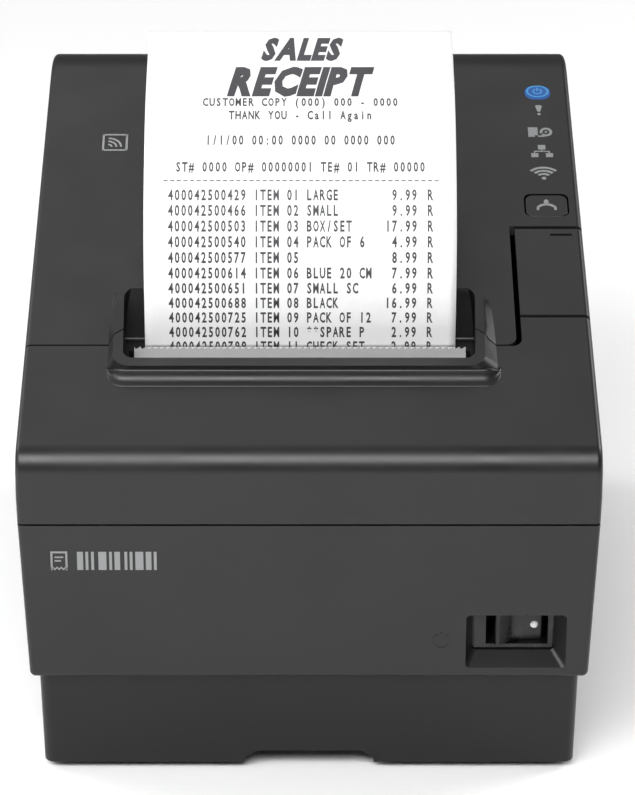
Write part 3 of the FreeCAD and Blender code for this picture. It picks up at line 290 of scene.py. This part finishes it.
def circuit_board(name, colour):
    """Solder mask with darker copper areas and fine tracks under it."""
    surface = Surface(name, colour, 0.32)
    tracks = surface.node("ShaderNodeTexBrick", Scale=260.0)
    tracks.inputs["Color1"].default_value = (*shade(colour, 0.8), 1.0)
    tracks.inputs["Color2"].default_value = (*shade(colour, 1.05), 1.0)
    tracks.inputs["Mortar"].default_value = (*shade(colour, 1.7), 1.0)
    tracks.inputs["Mortar Size"].default_value = 0.06
    surface.link(surface.coordinates(), tracks.inputs["Vector"])
    surface.colour_from(tracks.outputs["Color"])
    surface.bump(tracks.outputs["Fac"], 0.3, 0.00003)
    return surface.material


CHARCOAL = (0.0070, 0.0070, 0.0073)


def make_materials():
    """Every material by name, the record's material slots among them."""
    return {
        "case_plastic": moulded("case_plastic", CHARCOAL, 0.36, Specular_IOR_Level=0.44),
        "plinth_plastic": moulded("plinth_plastic", shade(CHARCOAL, 0.9), 0.42, Specular_IOR_Level=0.34),
        "black_plastic": moulded("black_plastic", (0.007, 0.007, 0.0075), 0.5, mottling=0.1),
        "gloss_black": polished("gloss_black", (0.003, 0.003, 0.0034), 0.3),
        "lens": lit_plastic("lens", (0.004, 0.045, 0.17), (0.002, 0.09, 0.34)),
        "lens_bright": lit_plastic("lens_bright", (0.03, 0.16, 0.34), (0.04, 0.2, 0.38)),
        "legend": moulded("legend", (0.22, 0.223, 0.226), 0.5, mottling=0.05),
        "white_mark": moulded("white_mark", (0.85, 0.85, 0.85), 0.4, mottling=0.02),
        "ink": moulded("ink", (0.045, 0.045, 0.05), 0.55, mottling=0.3),
        "foot_rubber": rubber("foot_rubber", (0.016, 0.016, 0.016), 0.75),
        "platen_rubber": rubber("platen_rubber", (0.03, 0.03, 0.033), 0.6),
        "sheet_steel": metal("sheet_steel", (0.56, 0.57, 0.58), 0.34),
        "blade_steel": metal("blade_steel", (0.74, 0.745, 0.75), 0.24),
        "tear_steel": metal("tear_steel", (0.24, 0.24, 0.24), 0.6),
        "shaft_steel": metal("shaft_steel", (0.66, 0.66, 0.67), 0.2, (40.0, 1.0, 1.0)),
        "screw_steel": metal("screw_steel", (0.48, 0.48, 0.5), 0.36, (1.0, 1.0, 1.0)),
        "spring_steel": metal("spring_steel", (0.5, 0.51, 0.53), 0.3, (1.0, 1.0, 1.0)),
        "heat_sink": metal("heat_sink", (0.68, 0.69, 0.7), 0.42, (1.0, 30.0, 30.0)),
        "ceramic": polished("ceramic", (0.62, 0.6, 0.52), 0.25),
        "acetal": moulded("acetal", (0.66, 0.64, 0.58), 0.38, mottling=0.04),
        "bronze": metal("bronze", (0.6, 0.42, 0.2), 0.4, (1.0, 1.0, 1.0)),
        "motor_can": metal("motor_can", (0.34, 0.35, 0.37), 0.38, (30.0, 1.0, 30.0)),
        "board_green": circuit_board("board_green", (0.012, 0.12, 0.055)),
        "chip_black": moulded("chip_black", (0.014, 0.014, 0.015), 0.55),
        "cable_film": polished("cable_film", (0.6, 0.6, 0.58), 0.3),
        "port_shell": metal("port_shell", (0.6, 0.61, 0.62), 0.28),
        "paper": thermal_paper("paper", (0.8, 0.8, 0.8)),
        "board_core": moulded("board_core", (0.4, 0.28, 0.16), 0.8, 0.0008, 0.00008),
    }


MATERIALS = make_materials()


def finish_cad_nodes():
    for part in frame["record"]["subparts"]:
        node = NODES[part["node"]]
        node.data.materials.clear()
        node.data.materials.append(MATERIALS[part["material_slot"]])
    NODES["tear_bar"].data.materials[0] = MATERIALS["tear_steel"]
    NODES["paper_roll"].data.materials[0] = wound_paper("wound_paper", (0.84, 0.83, 0.81))


# ---- edge rounding of the moulded shells ---------------------------------------------
WELD_REACH = 0.002 * MM
FLAT_ANGLE, EDGE_ANGLE = math.radians(0.4), math.radians(28.0)
EDGE_SEGMENTS = 3
FACE_WEIGHT = 80            # how far large faces hold the shading flat beside a rounded edge
SHELL_EDGES = (("roll_cover", 0.4 * MM), ("cutter_cover", 0.4 * MM), ("open_lever", 0.4 * MM),
               ("main_case", 0.35 * MM), ("base_tray", 0.35 * MM), ("feed_button", 0.25 * MM))


def soften(node, width):
    """Weld and clean the shell's mesh and round its sharp edges, as a mould leaves them."""
    shell = NODES[node]
    for polygon in shell.data.polygons:
        polygon.use_smooth = True
    weld = shell.modifiers.new("weld", "WELD")
    weld.merge_threshold = WELD_REACH
    planar = shell.modifiers.new("planar", "DECIMATE")
    planar.decimate_type = "DISSOLVE"
    planar.angle_limit = FLAT_ANGLE
    bevel = shell.modifiers.new("bevel", "BEVEL")
    bevel.limit_method = "ANGLE"
    bevel.angle_limit = EDGE_ANGLE
    bevel.width = width
    bevel.segments = EDGE_SEGMENTS
    weighted = shell.modifiers.new("normals", "WEIGHTED_NORMAL")
    weighted.weight = FACE_WEIGHT


# ---- mesh helpers ----------------------------------------------------------------------
SAME_PLACE = 0.001 * MM     # vertices closer than this are one


def new_piece(name, bm, material, body, smooth=True):
    """Object from a bmesh, riding on a body if one is named."""
    mesh = bpy.data.meshes.new(name)
    bm.to_mesh(mesh)
    bm.free()
    mesh.materials.append(material)
    for polygon in mesh.polygons:
        polygon.use_smooth = smooth
    piece = bpy.data.objects.new(name, mesh)
    bpy.context.scene.collection.objects.link(piece)
    if body:
        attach(piece, body)
    return piece


def thicken(piece, thickness):
    """Give a sheet of faces a thickness on the side away from its normals."""
    solid = piece.modifiers.new("thickness", "SOLIDIFY")
    solid.thickness = thickness
    solid.offset = -1.0


def bezier(a, b, c, t):
    return a * (1 - t) ** 2 + b * 2 * t * (1 - t) + c * t ** 2


def smooth_step(t):
    t = min(max(t, 0.0), 1.0)
    return t * t * (3 - 2 * t)


# ---- flat marks: lists of polygons in millimetres ------------------------------------------
def box_mark(x0, y0, x1, y1):
    return [[(x0, y0), (x1, y0), (x1, y1), (x0, y1)]]


def arc_mark(x, y, inner, outer, start, end, steps=18):
    """Band of a ring between two angles in degrees, as a row of quads."""
    angles = [math.radians(start + (end - start) * step / steps) for step in range(steps + 1)]

    def rim(radius, angle):
        return (x + radius * math.cos(angle), y + radius * math.sin(angle))

    return [[rim(inner, a), rim(outer, a), rim(outer, b), rim(inner, b)]
            for a, b in zip(angles, angles[1:])]


def disc_mark(x, y, radius, steps=20):
    angles = [2 * math.pi * step / steps for step in range(steps)]
    return [[(x + radius * math.cos(angle), y + radius * math.sin(angle)) for angle in angles]]


def scaled(marks, wide, tall):
    return [[(x * wide, y * tall) for x, y in polygon] for polygon in marks]


def warning_mark():
    """A tapered stroke over a dot."""
    stroke = [[(-0.75, 1.5), (-0.25, -0.35), (0.25, -0.35), (0.75, 1.5), (0.4, 1.75), (-0.4, 1.75)]]
    return stroke + disc_mark(0, -1.15, 0.38, 12)


def paper_low_mark():
    """A slip of paper beside a roll."""
    return (box_mark(-3.1, -1.3, -0.7, 1.6) + box_mark(-3.1, -1.9, -1.5, -1.3)
            + arc_mark(1.4, -0.1, 0.9, 1.6, -140, 200) + disc_mark(1.4, -0.1, 0.35, 10)
            + box_mark(-0.7, -1.9, 1.0, -1.4))


def network_mark():
    """Three stations on one line."""
    boxes = ((-0.9, 0.5, 0.9, 2.0), (-2.6, -2.0, -0.9, -0.7), (0.9, -2.0, 2.6, -0.7),
             (-0.15, -0.1, 0.15, 0.5), (-1.9, -0.25, 1.9, 0.05), (-1.9, -0.7, -1.6, -0.25),
             (1.6, -0.7, 1.9, -0.25))
    return [polygon for box in boxes for polygon in box_mark(*box)]


def wireless_mark():
    """A dot under three arcs."""
    fan = disc_mark(0, -2.0, 0.5, 12)
    for inner in (1.1, 2.15, 3.2):
        fan += arc_mark(0, -2.0, inner, inner + 0.62, 42, 138)
    return fan


def feed_mark():
    """A dot over a pair of drooping arms."""
    return (disc_mark(0, 0.75, 0.62, 14) + arc_mark(0, -3.2, 2.9, 3.5, 52, 128)
            + box_mark(-2.45, -1.6, -1.85, -0.6) + box_mark(1.85, -1.6, 2.45, -0.6))


def standby_mark(radius, line):
    """Open ring with an upright bar in its gap."""
    ring = arc_mark(0, 0, radius - line, radius, 120, 420, 32)
    return ring + box_mark(-line / 2, 0.1, line / 2, radius + 0.25)


def touch_mark():
    """Square frame with waves spreading from a corner: a place to hold a card."""
    frame_marks = []
    for turn in range(4):
        bar = box_mark(-3.0, 2.5, 3.0, 3.0)
        c, s = math.cos(turn * math.pi / 2), math.sin(turn * math.pi / 2)
        frame_marks += [[(x * c - y * s, x * s + y * c) for x, y in polygon] for polygon in bar]
    for inner in (0.6, 1.7, 2.8):
        frame_marks += arc_mark(-1.6, -1.6, inner, inner + 0.5, 0, 90, 10)
    return frame_marks


BARS_LEFT = 6.6
BARS = ((1.5, 0.6), (0.7, 0.7), (0.7, 1.1), (2.0, 0.7), (0.7, 0.6), (1.4, 1.1), (0.7, 0.6),
        (0.7, 0.7), (2.0, 0.6), (1.4, 0.6), (0.7, 0.0))     # width of each bar, and the space after it


def slip_mark():
    """Label on the front: a receipt slip and a row of bars of uneven width."""
    slip = box_mark(0, 0, 0.5, 5.2) + box_mark(3.7, 0, 4.2, 5.2) + box_mark(0.5, 4.7, 3.7, 5.2)
    slip += [[(x, 0), (x + 0.525, 0.55), (x + 1.05, 0), (x + 1.05, 0.5), (x + 0.525, 1.05), (x, 0.5)]
             for x in (0.0, 1.05, 2.1, 3.15)]
    slip += box_mark(1.0, 3.4, 3.2, 3.8) + box_mark(1.0, 2.4, 2.6, 2.8)
    x = BARS_LEFT
    for width, space in BARS:
        slip += box_mark(x, 0.1, x + width, 5.1)
        x += width + space
    return slip


def inlay(name, marks, place, material, body, thickness=0.05):
    """Thin printed or moulded mark: place turns (u, v) into a point; thickness in millimetres."""
    bm = bmesh.new()
    for polygon in marks:
        bm.faces.new([bm.verts.new(place(u, v)) for u, v in polygon])
    bmesh.ops.remove_doubles(bm, verts=bm.verts, dist=SAME_PLACE)
    thicken(new_piece(name, bm, material, body, smooth=False), thickness * MM)


def top_place(x, d, lift=0.03):
    """Flat marks centred d millimetres back on the sloping top, x in metres."""
    def place(u, v):
        return on_top(x + u * MM, at_depth(d + v * math.cos(SLOPE)), lift * MM)
    return place


def front_place(x, z, lift=0.03):
    """Flat marks on the front face from (x, z), all in millimetres."""
    def place(u, v):
        return Vector(((x + u) * MM, FRONT_Y - lift * MM, (z + v) * MM))
    return place


TOUCH_X, TOUCH_D = -52.6, 109.2     # card mark on the left of the roll cover
LABEL_X, LABEL_Z = -64.3, 58.5      # lower left corner of the front label
RING_X, RING_Z = 33.3, 38.7         # standby ring moulded beside the switch


# status icons under the lens: name, d, drawing, width factor, height factor
ICONS = (("warning_mark", 121.5, warning_mark(), 1.3, 1.3),
         ("paper_mark", 113.3, paper_low_mark(), 1.08, 1.12),
         ("network_mark", 105.9, network_mark(), 1.13, 1.25),
         ("wireless_mark", 97.9, wireless_mark(), 1.3, 1.22))


def make_marks():
    """Icons, symbols and label, each a thin piece on the body that it is printed on."""
    legend = MATERIALS["legend"]
    for name, d, marks, wide, tall in ICONS:
        inlay(name, scaled(marks, wide, tall), top_place(LENS_X, d), legend, "roll_cover")
    lens_d = depth_of((LENS_LOW.y + LENS_HIGH.y) / 2)
    halo = scaled(arc_mark(0, 0, 2.05, 2.5, 0, 360, 40), 1.25, 1.0) + standby_mark(1.3, 0.42)
    inlay("lens_mark", halo, top_place(LENS_X, lens_d, 0.02), MATERIALS["lens_bright"],
          "roll_cover", 0.03)
    button_d = depth_of((BUTTON_LOW.y + BUTTON_HIGH.y) / 2)
    inlay("feed_mark", scaled(feed_mark(), 1.08, 1.4), top_place(BUTTON_X, button_d), legend,
          "feed_button")
    inlay("touch_mark", scaled(touch_mark(), 1.15, 1.15), top_place(TOUCH_X * MM, TOUCH_D), legend,
          "roll_cover")
    inlay("front_label", slip_mark(), front_place(LABEL_X, LABEL_Z), legend, "case")
    inlay("standby_ring", standby_mark(2.2, 0.45), front_place(RING_X, RING_Z, 0.18),
          MATERIALS["case_plastic"], "case", 0.25)


# ---- collar fillet ---------------------------------------------------------------------
COLLAR_LEFT, COLLAR_RIGHT = -51.3, 48.7
COLLAR_FRONT_D = 25.2
COLLAR_CORNER = 5.0
COLLAR_TURN = 75.0                  # how far the fillet follows each corner round, in degrees
FILLET = 2.6                        # run-out of the fillet on the top and up the wall
FILLET_LEAST = 0.12                 # run-out left at its two ends
FILLET_BURY = 0.3                   # how deep its hidden side lies in the cover
CORNER_STEPS, FRONT_SPANS, CURVE_STEPS = 12, 24, 8


def collar_stations():
    """(x, d, outward x, outward d, size) along the foot of the collar, left to right."""
    straight_left, straight_right = COLLAR_LEFT + COLLAR_CORNER, COLLAR_RIGHT - COLLAR_CORNER
    middle_d = COLLAR_FRONT_D + COLLAR_CORNER
    stations = []
    for step in range(CORNER_STEPS + 1):
        angle = math.radians(COLLAR_TURN * (1 - step / CORNER_STEPS))
        size = smooth_step(step / CORNER_STEPS * 1.2)       # full before the corner ends
        stations.append((straight_left - COLLAR_CORNER * math.sin(angle),
                         middle_d - COLLAR_CORNER * math.cos(angle),
                         -math.sin(angle), -math.cos(angle), size))
    for step in range(1, FRONT_SPANS):
        x = straight_left + (straight_right - straight_left) * step / FRONT_SPANS
        stations.append((x, COLLAR_FRONT_D, 0.0, -1.0, 1.0))
    mirrored = [(COLLAR_LEFT + COLLAR_RIGHT - x, d, -out_x, out_d, size)
                for x, d, out_x, out_d, size in reversed(stations[:CORNER_STEPS + 1])]
    return stations + mirrored


def make_collar_fillet():
    """Concave run-out where the raised collar meets the sloping top."""
    bm = bmesh.new()
    rows = []
    bury = FILLET_BURY * MM
    up = Vector((0.0, 0.0, 1.0))
    for x, d, out_x, out_d, size in collar_stations():
        corner = on_top(x * MM, at_depth(d))
        outward = Vector((out_x, out_d, 0.0))
        ground = Vector((out_x, out_d, TOP_RISE * out_d)).normalized()
        reach = max(size * FILLET, FILLET_LEAST) * MM
        toe, top = corner + ground * reach, corner + up * reach
        curve = [bezier(toe, corner, top, step / CURVE_STEPS) for step in range(CURVE_STEPS + 1)]
        inner = [top - outward * bury * 2, corner - outward * bury * 2 - up * bury, toe - up * bury]
        rows.append([bm.verts.new(point) for point in curve + inner])
    count = len(rows[0])
    for row, following in zip(rows, rows[1:]):
        for step in range(count):
            after = (step + 1) % count
            bm.faces.new([row[step], row[after], following[after], following[step]])
    bm.faces.new(rows[0])
    bm.faces.new(list(reversed(rows[-1])))
    bmesh.ops.recalc_face_normals(bm, faces=bm.faces)
    new_piece("collar_fillet", bm, MATERIALS["case_plastic"], "cutter_cover")


# ---- receipt -----------------------------------------------------------------------------
PAPER_THICK = 0.12
PAPER_EDGE = 0.2            # thickness of the CAD strip
PATH_STEP = 0.8
SHEET_COLUMNS = 40
ARC_STEPS = 24
# corners of the receipt's side view, from where it leaves the slot: back, up, radius
RECEIPT_CORNERS = ((0.0, 0.0, 0.0), (0.0, 30.6, 45.0), (22.3, 56.45, 50.0), (51.3, 68.72, 0.0))


def rounded_path(corners):
    """Polyline through the corners with each one rounded by an arc of its own radius."""
    points = [Vector(corners[0][:2])]
    for before, corner, after in zip(corners, corners[1:], corners[2:]):
        middle = Vector(corner[:2])
        entry = (Vector(before[:2]) - middle).normalized()
        leave = (Vector(after[:2]) - middle).normalized()
        half = entry.angle(leave) / 2
        run = corner[2] / math.tan(half)
        centre = middle + (entry + leave).normalized() * corner[2] / math.sin(half)
        start = math.atan2(*(middle + entry * run - centre).yx)
        end = math.atan2(*(middle + leave * run - centre).yx)
        if start - end > math.pi:
            end += 2 * math.pi
        elif end - start > math.pi:
            start += 2 * math.pi
        for step in range(ARC_STEPS + 1):
            angle = start + (end - start) * step / ARC_STEPS
            points.append(centre + Vector((math.cos(angle), math.sin(angle))) * corner[2])
    points.append(Vector(corners[-1][:2]))
    return points


class PaperPath:
    """Side view of the receipt, read by the length along it in millimetres."""

    def __init__(self):
        self.points = rounded_path(RECEIPT_CORNERS)
        self.lengths = [0.0]
        for a, b in zip(self.points, self.points[1:]):
            self.lengths.append(self.lengths[-1] + (b - a).length)
        self.total = self.lengths[-1]
        self.start = Vector((RECEIPT_LOW.y + PAPER_EDGE / 2 * MM, WEB_HIGH.z))

    def place(self, x, length, lift=0.0):
        """Point on the sheet, lift millimetres off its printed side; x in metres."""
        length = min(max(length, 0.0), self.total)
        span = max(index for index, value in enumerate(self.lengths[:-1]) if value <= length + 1e-9)
        a, b = self.points[span], self.points[span + 1]
        part = (length - self.lengths[span]) / (self.lengths[span + 1] - self.lengths[span])
        along = (b - a).normalized()
        spot = a.lerp(b, part) + Vector((-along.y, along.x)) * lift
        return Vector((x, self.start.x + spot.x * MM, self.start.y + spot.y * MM))


PAPER_PATH = PaperPath()


def blend_receipt(piece):
    """Bake the piece's placement into its mesh; it rides on no body, so it stays put."""
    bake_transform(piece)


def make_receipt():
    """Loose end of the paper, as one thin sheet along the path."""
    bm = bmesh.new()
    rows = int(PAPER_PATH.total / PATH_STEP)
    grid = []
    for row in range(rows + 1):
        length = PAPER_PATH.total * row / rows
        line = []
        for column in range(SHEET_COLUMNS + 1):
            across = column / SHEET_COLUMNS
            x = RECEIPT_LOW.x + (RECEIPT_HIGH.x - RECEIPT_LOW.x) * across
            line.append(bm.verts.new(PAPER_PATH.place(x, length, PAPER_THICK / 2)))
        grid.append(line)
    for low, high in zip(grid, grid[1:]):
        for column in range(SHEET_COLUMNS):
            bm.faces.new([low[column], low[column + 1], high[column + 1], high[column]])
    sheet = new_piece("receipt_sheet", bm, MATERIALS["paper"], None)
    thicken(sheet, PAPER_THICK * MM)
    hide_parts("receipt")
    blend_receipt(sheet)


# ---- receipt printing ----------------------------------------------------------------------
PITCH = 1.68                # character cell of the small print
SMALL = 2.75                # height of its capitals
PRINT_LIFT = 0.025
HEADING_WEIGHT, SMALL_WEIGHT = 0.06, 0.028  # how far the outlines are swollen
CELL_FILL = 0.84            # widest character, as a part of its cell
WIDEST = 0.62               # most that a character keeps of the font's own width
HEADING_GAP, HEADING_SLANT = 0.03, 0.2


class Type:
    """Flat outlines of characters, made once each from the built-in font, at one weight."""

    def __init__(self, weight):
        self.cache = {}
        self.weight = weight
        self.cap_height = self.size("H")[1]

    def faces(self, character):
        if character not in self.cache:
            curve = bpy.data.curves.new("type", "FONT")
            curve.body = character
            curve.resolution_u = 2
            curve.offset = self.weight
            carrier = bpy.data.objects.new("type", curve)
            bpy.context.scene.collection.objects.link(carrier)
            mesh = bpy.data.meshes.new_from_object(carrier)
            self.cache[character] = [[tuple(mesh.vertices[index].co.xy) for index in polygon.vertices]
                                     for polygon in mesh.polygons]
            bpy.data.objects.remove(carrier)
            bpy.data.curves.remove(curve)
            bpy.data.meshes.remove(mesh)
        return self.cache[character]

    def size(self, character):
        """Width, top and left edge of a character."""
        points = [point for polygon in self.faces(character) for point in polygon]
        if not points:
            return 0.0, 0.0, 0.0
        left, right = min(x for x, _ in points), max(x for x, _ in points)
        return right - left, max(y for _, y in points), left

    def cell(self, character, x, y, height, width):
        """One character centred on x in a cell, standing on y."""
        tall = height / self.cap_height
        wide, _, left = self.size(character)
        squeeze = min(tall, width / wide) if wide else tall
        squeeze = min(squeeze, WIDEST * tall)
        return [[(x + (px - left - wide / 2) * squeeze, y + py * tall) for px, py in polygon]
                for polygon in self.faces(character)]

    def line(self, text, left, middle, height=SMALL):
        """Monospaced line of print starting at left, centred on middle."""
        marks = []
        for index, character in enumerate(text):
            if character != " ":
                marks += self.cell(character, left + (index + 0.5) * PITCH, middle - height / 2, height,
                                   PITCH * CELL_FILL)
        return marks

    def heading(self, text, left, right, bottom, height):
        """Slanted line stretched between two margins."""
        tall = height / self.cap_height
        widths = [self.size(character)[0] for character in text]
        squeeze = (right - left - HEADING_SLANT * height) / (sum(widths) + HEADING_GAP * (len(text) - 1))
        marks = []
        x = left
        for character, wide in zip(text, widths):
            start = self.size(character)[2]
            for polygon in self.faces(character):
                marks.append([(x + (px - start) * squeeze + py * tall * HEADING_SLANT, bottom + py * tall)
                              for px, py in polygon])
            x += (wide + HEADING_GAP) * squeeze
        return marks


# heading lines: text, left, right, bottom, height
HEADINGS = (("SALES", -12.6, 9.4, 82.9, 8.6), ("RECEIPT", -21.0, 17.0, 69.3, 10.4))
# small lines at the top, centred on TOP_LINES_X: text, middle
TOP_LINES_X = -2.2
TOP_LINES = (("CUSTOMER COPY (000) 000 - 0000", 66.6), ("THANK YOU - Call Again", 62.4),
             ("1/1/00 00:00 0000 00 0000 000", 55.0), ("ST# 0000 OP# 00000001 TE# 01 TR# 00000", 47.6))
TOP_LINES_HEIGHT = SMALL * 0.94
DASHES, DASH_LEFT, DASH_LENGTH = 42, -37.0, 1.1
DASH_LOW, DASH_HIGH = 43.65, 43.95
FIRST_CODE, CODE_STEP = 429, 37
ITEM_LINES = (("ITEM 01 LARGE", "9.99"), ("ITEM 02 SMALL", "9.99"), ("ITEM 03 BOX/SET", "17.99"),
              ("ITEM 04 PACK OF 6", "4.99"), ("ITEM 05", "8.99"), ("ITEM 06 BLUE 20 CM", "7.99"),
              ("ITEM 07 SMALL SC", "6.99"), ("ITEM 08 BLACK", "16.99"), ("ITEM 09 PACK OF 12", "7.99"),
              ("ITEM 10 **SPARE P", "2.99"), ("ITEM 11 CHECK SET", "2.99"))
FIRST_ITEM, ITEM_PITCH = 40.1, 3.99
CODE_LEFT, NAME_LEFT, PRICE_RIGHT, CLASS_LEFT = -36.0, -14.2, 27.6, 30.0


def receipt_marks():
    """All the print, in millimetres: x across the paper, y along it from the slot."""
    bold, plain = Type(HEADING_WEIGHT), Type(SMALL_WEIGHT)
    marks = []
    for text, left, right, bottom, height in HEADINGS:
        marks += bold.heading(text, left, right, bottom, height)
    for text, middle in TOP_LINES:
        marks += plain.line(text, TOP_LINES_X - len(text) * PITCH / 2, middle, TOP_LINES_HEIGHT)
    for dash in range(DASHES):
        left = DASH_LEFT + dash * PITCH
        marks += box_mark(left, DASH_LOW, left + DASH_LENGTH, DASH_HIGH)
    for index, (name, price) in enumerate(ITEM_LINES):
        middle = FIRST_ITEM - index * ITEM_PITCH
        marks += plain.line("4000425%05d" % (FIRST_CODE + CODE_STEP * index), CODE_LEFT, middle)
        marks += plain.line(name, NAME_LEFT, middle)
        marks += plain.line(price, PRICE_RIGHT - len(price) * PITCH, middle)
        marks += plain.line("R", CLASS_LEFT, middle)
    return marks


def make_print():
    """Thermal print, cut into bands so that it follows the bend of the sheet."""
    bm = bmesh.new()
    for polygon in receipt_marks():
        corners = [bm.verts.new((x, y, 0.0)) for x, y in polygon]
        if len(set(polygon)) > 2:
            bm.faces.new(corners)
    band = PATH_STEP
    while band < PAPER_PATH.total:
        everything = list(bm.verts) + list(bm.edges) + list(bm.faces)
        bmesh.ops.bisect_plane(bm, geom=everything, plane_co=(0, band, 0), plane_no=(0, 1, 0))
        band += PATH_STEP
    loose = [vertex for vertex in bm.verts if not vertex.link_faces]
    bmesh.ops.delete(bm, geom=loose, context="VERTS")
    for vertex in bm.verts:
        vertex.co = PAPER_PATH.place(vertex.co.x * MM, vertex.co.y, PAPER_THICK / 2 + PRINT_LIFT)
    bm.normal_update()
    piece = new_piece("receipt_print", bm, MATERIALS["ink"], None, smooth=False)
    blend_receipt(piece)


# ---- rocker dot --------------------------------------------------------------------------
DOT_FROM_RIGHT = 2.3 * MM   # from the rocker's right edge
DOT_BELOW = 0.1 * MM        # below the rocker's middle
DOT_FACE_D = 6.6            # face of the rocker under the dot
DOT_RADIUS = 1.05 * MM
DOT_SUNK, DOT_HEIGHT = 0.3 * MM, 0.45 * MM
DOT_RINGS, DOT_SIDES = 4, 20


def make_rocker_dot():
    """White dot, a low dome on the right half of the power rocker."""
    x = ROCKER_HIGH.x - DOT_FROM_RIGHT
    z = (ROCKER_LOW.z + ROCKER_HIGH.z) / 2 - DOT_BELOW
    rim_y = at_depth(DOT_FACE_D) + DOT_SUNK
    bm = bmesh.new()
    rings = []
    for step in range(DOT_RINGS + 1):
        angle = math.pi / 2 * step / DOT_RINGS
        ring = []
        for side in range(DOT_SIDES):
            turn = 2 * math.pi * side / DOT_SIDES
            ring.append(bm.verts.new((x + DOT_RADIUS * math.cos(angle) * math.cos(turn),
                                      rim_y - DOT_HEIGHT * math.sin(angle),
                                      z + DOT_RADIUS * math.cos(angle) * math.sin(turn))))
        rings.append(ring)
    for low, high in zip(rings, rings[1:]):
        for side in range(DOT_SIDES):
            after = (side + 1) % DOT_SIDES
            bm.faces.new([low[side], low[after], high[after], high[side]])
    bm.faces.new(rings[0])
    bmesh.ops.remove_doubles(bm, verts=bm.verts, dist=SAME_PLACE)
    bmesh.ops.recalc_face_normals(bm, faces=bm.faces)
    new_piece("rocker_dot", bm, MATERIALS["white_mark"], "power_rocker")


# ---- floor and light ---------------------------------------------------------------------
FLOOR_HALF = 6.0
FLOOR_WHITE = (0.95, 0.95, 0.95)
SKY_LIGHT, SOFTBOX_LIGHT = 0.16, 1.4
SOFTBOX_WAY = Vector((-0.2, 0.36, 0.91)).normalized()
SOFTBOX_EDGE = 0.84         # cosine of the angle at which its light has faded out
AIM = (0.0, FRONT_Y, 0.09)
# area lights: name, location, target, width and height, power
LIGHTS = (("key", (-0.2, FRONT_Y - 0.88, 0.96), AIM, (1.0, 0.5), 16.7),
          ("left", (-1.1, -0.6, 0.7), AIM, (0.6, 0.6), 4.0),
          ("low_left", (-0.42, FRONT_Y - 0.32, 0.45), (-0.42, FRONT_Y - 0.32, 0.0), (0.3, 0.3), 1.0),
          ("rear_right", (1.6, 0.7, 1.1), (0.3, 0.35, 0.0), (0.8, 0.8), 20.0),
          ("rear_left", (-1.6, 0.7, 1.1), (-0.3, 0.35, 0.0), (0.8, 0.8), 11.0))


def light(name, location, target, size, power):
    data = bpy.data.lights.new(name, "AREA")
    data.energy = power
    data.shape = "RECTANGLE"
    data.size, data.size_y = size
    lamp = bpy.data.objects.new(name, data)
    lamp.location = location
    lamp.rotation_mode = "QUATERNION"
    lamp.rotation_quaternion = (Vector(target) - Vector(location)).to_track_quat("-Z", "Y")
    bpy.context.scene.collection.objects.link(lamp)


def make_world():
    """Dim sky with one large soft light overhead, a little behind the object."""
    world = bpy.data.worlds.new("world")
    world.use_nodes = True
    tree = world.node_tree
    place = tree.nodes.new("ShaderNodeTexCoord")
    facing = tree.nodes.new("ShaderNodeVectorMath")
    facing.operation = "DOT_PRODUCT"
    facing.inputs[1].default_value = SOFTBOX_WAY
    spread = tree.nodes.new("ShaderNodeMapRange")
    spread.interpolation_type = "SMOOTHSTEP"
    spread.inputs["From Min"].default_value = SOFTBOX_EDGE
    spread.inputs["From Max"].default_value = 1.0
    spread.inputs["To Min"].default_value = SKY_LIGHT
    spread.inputs["To Max"].default_value = SOFTBOX_LIGHT
    tree.links.new(place.outputs["Generated"], facing.inputs[0])
    tree.links.new(facing.outputs["Value"], spread.inputs["Value"])
    tree.links.new(spread.outputs["Result"], tree.nodes["Background"].inputs["Strength"])
    tree.nodes["Background"].inputs["Color"].default_value = (1.0, 1.0, 1.0, 1.0)
    bpy.context.scene.world = world


def make_stage():
    """Pale floor and soft studio light."""
    mesh = bpy.data.meshes.new("floor")
    corners = [(x * FLOOR_HALF, y * FLOOR_HALF, 0) for x, y in ((-1, -1), (1, -1), (1, 1), (-1, 1))]
    mesh.from_pydata(corners, [], [(0, 1, 2, 3)])
    floor = bpy.data.objects.new("floor", mesh)
    bpy.context.scene.collection.objects.link(floor)
    mesh.materials.append(Surface("floor", FLOOR_WHITE, 0.7).material)
    bpy.context.scene.view_settings.view_transform = "Standard"
    for name, location, target, size, power in LIGHTS:
        light(name, location, target, size, power)


make_camera()
finish_cad_nodes()
make_collar_fillet()
make_marks()
make_rocker_dot()
make_receipt()
make_print()
for shell_node, edge_width in SHELL_EDGES:
    soften(shell_node, edge_width)
make_world()
make_stage()
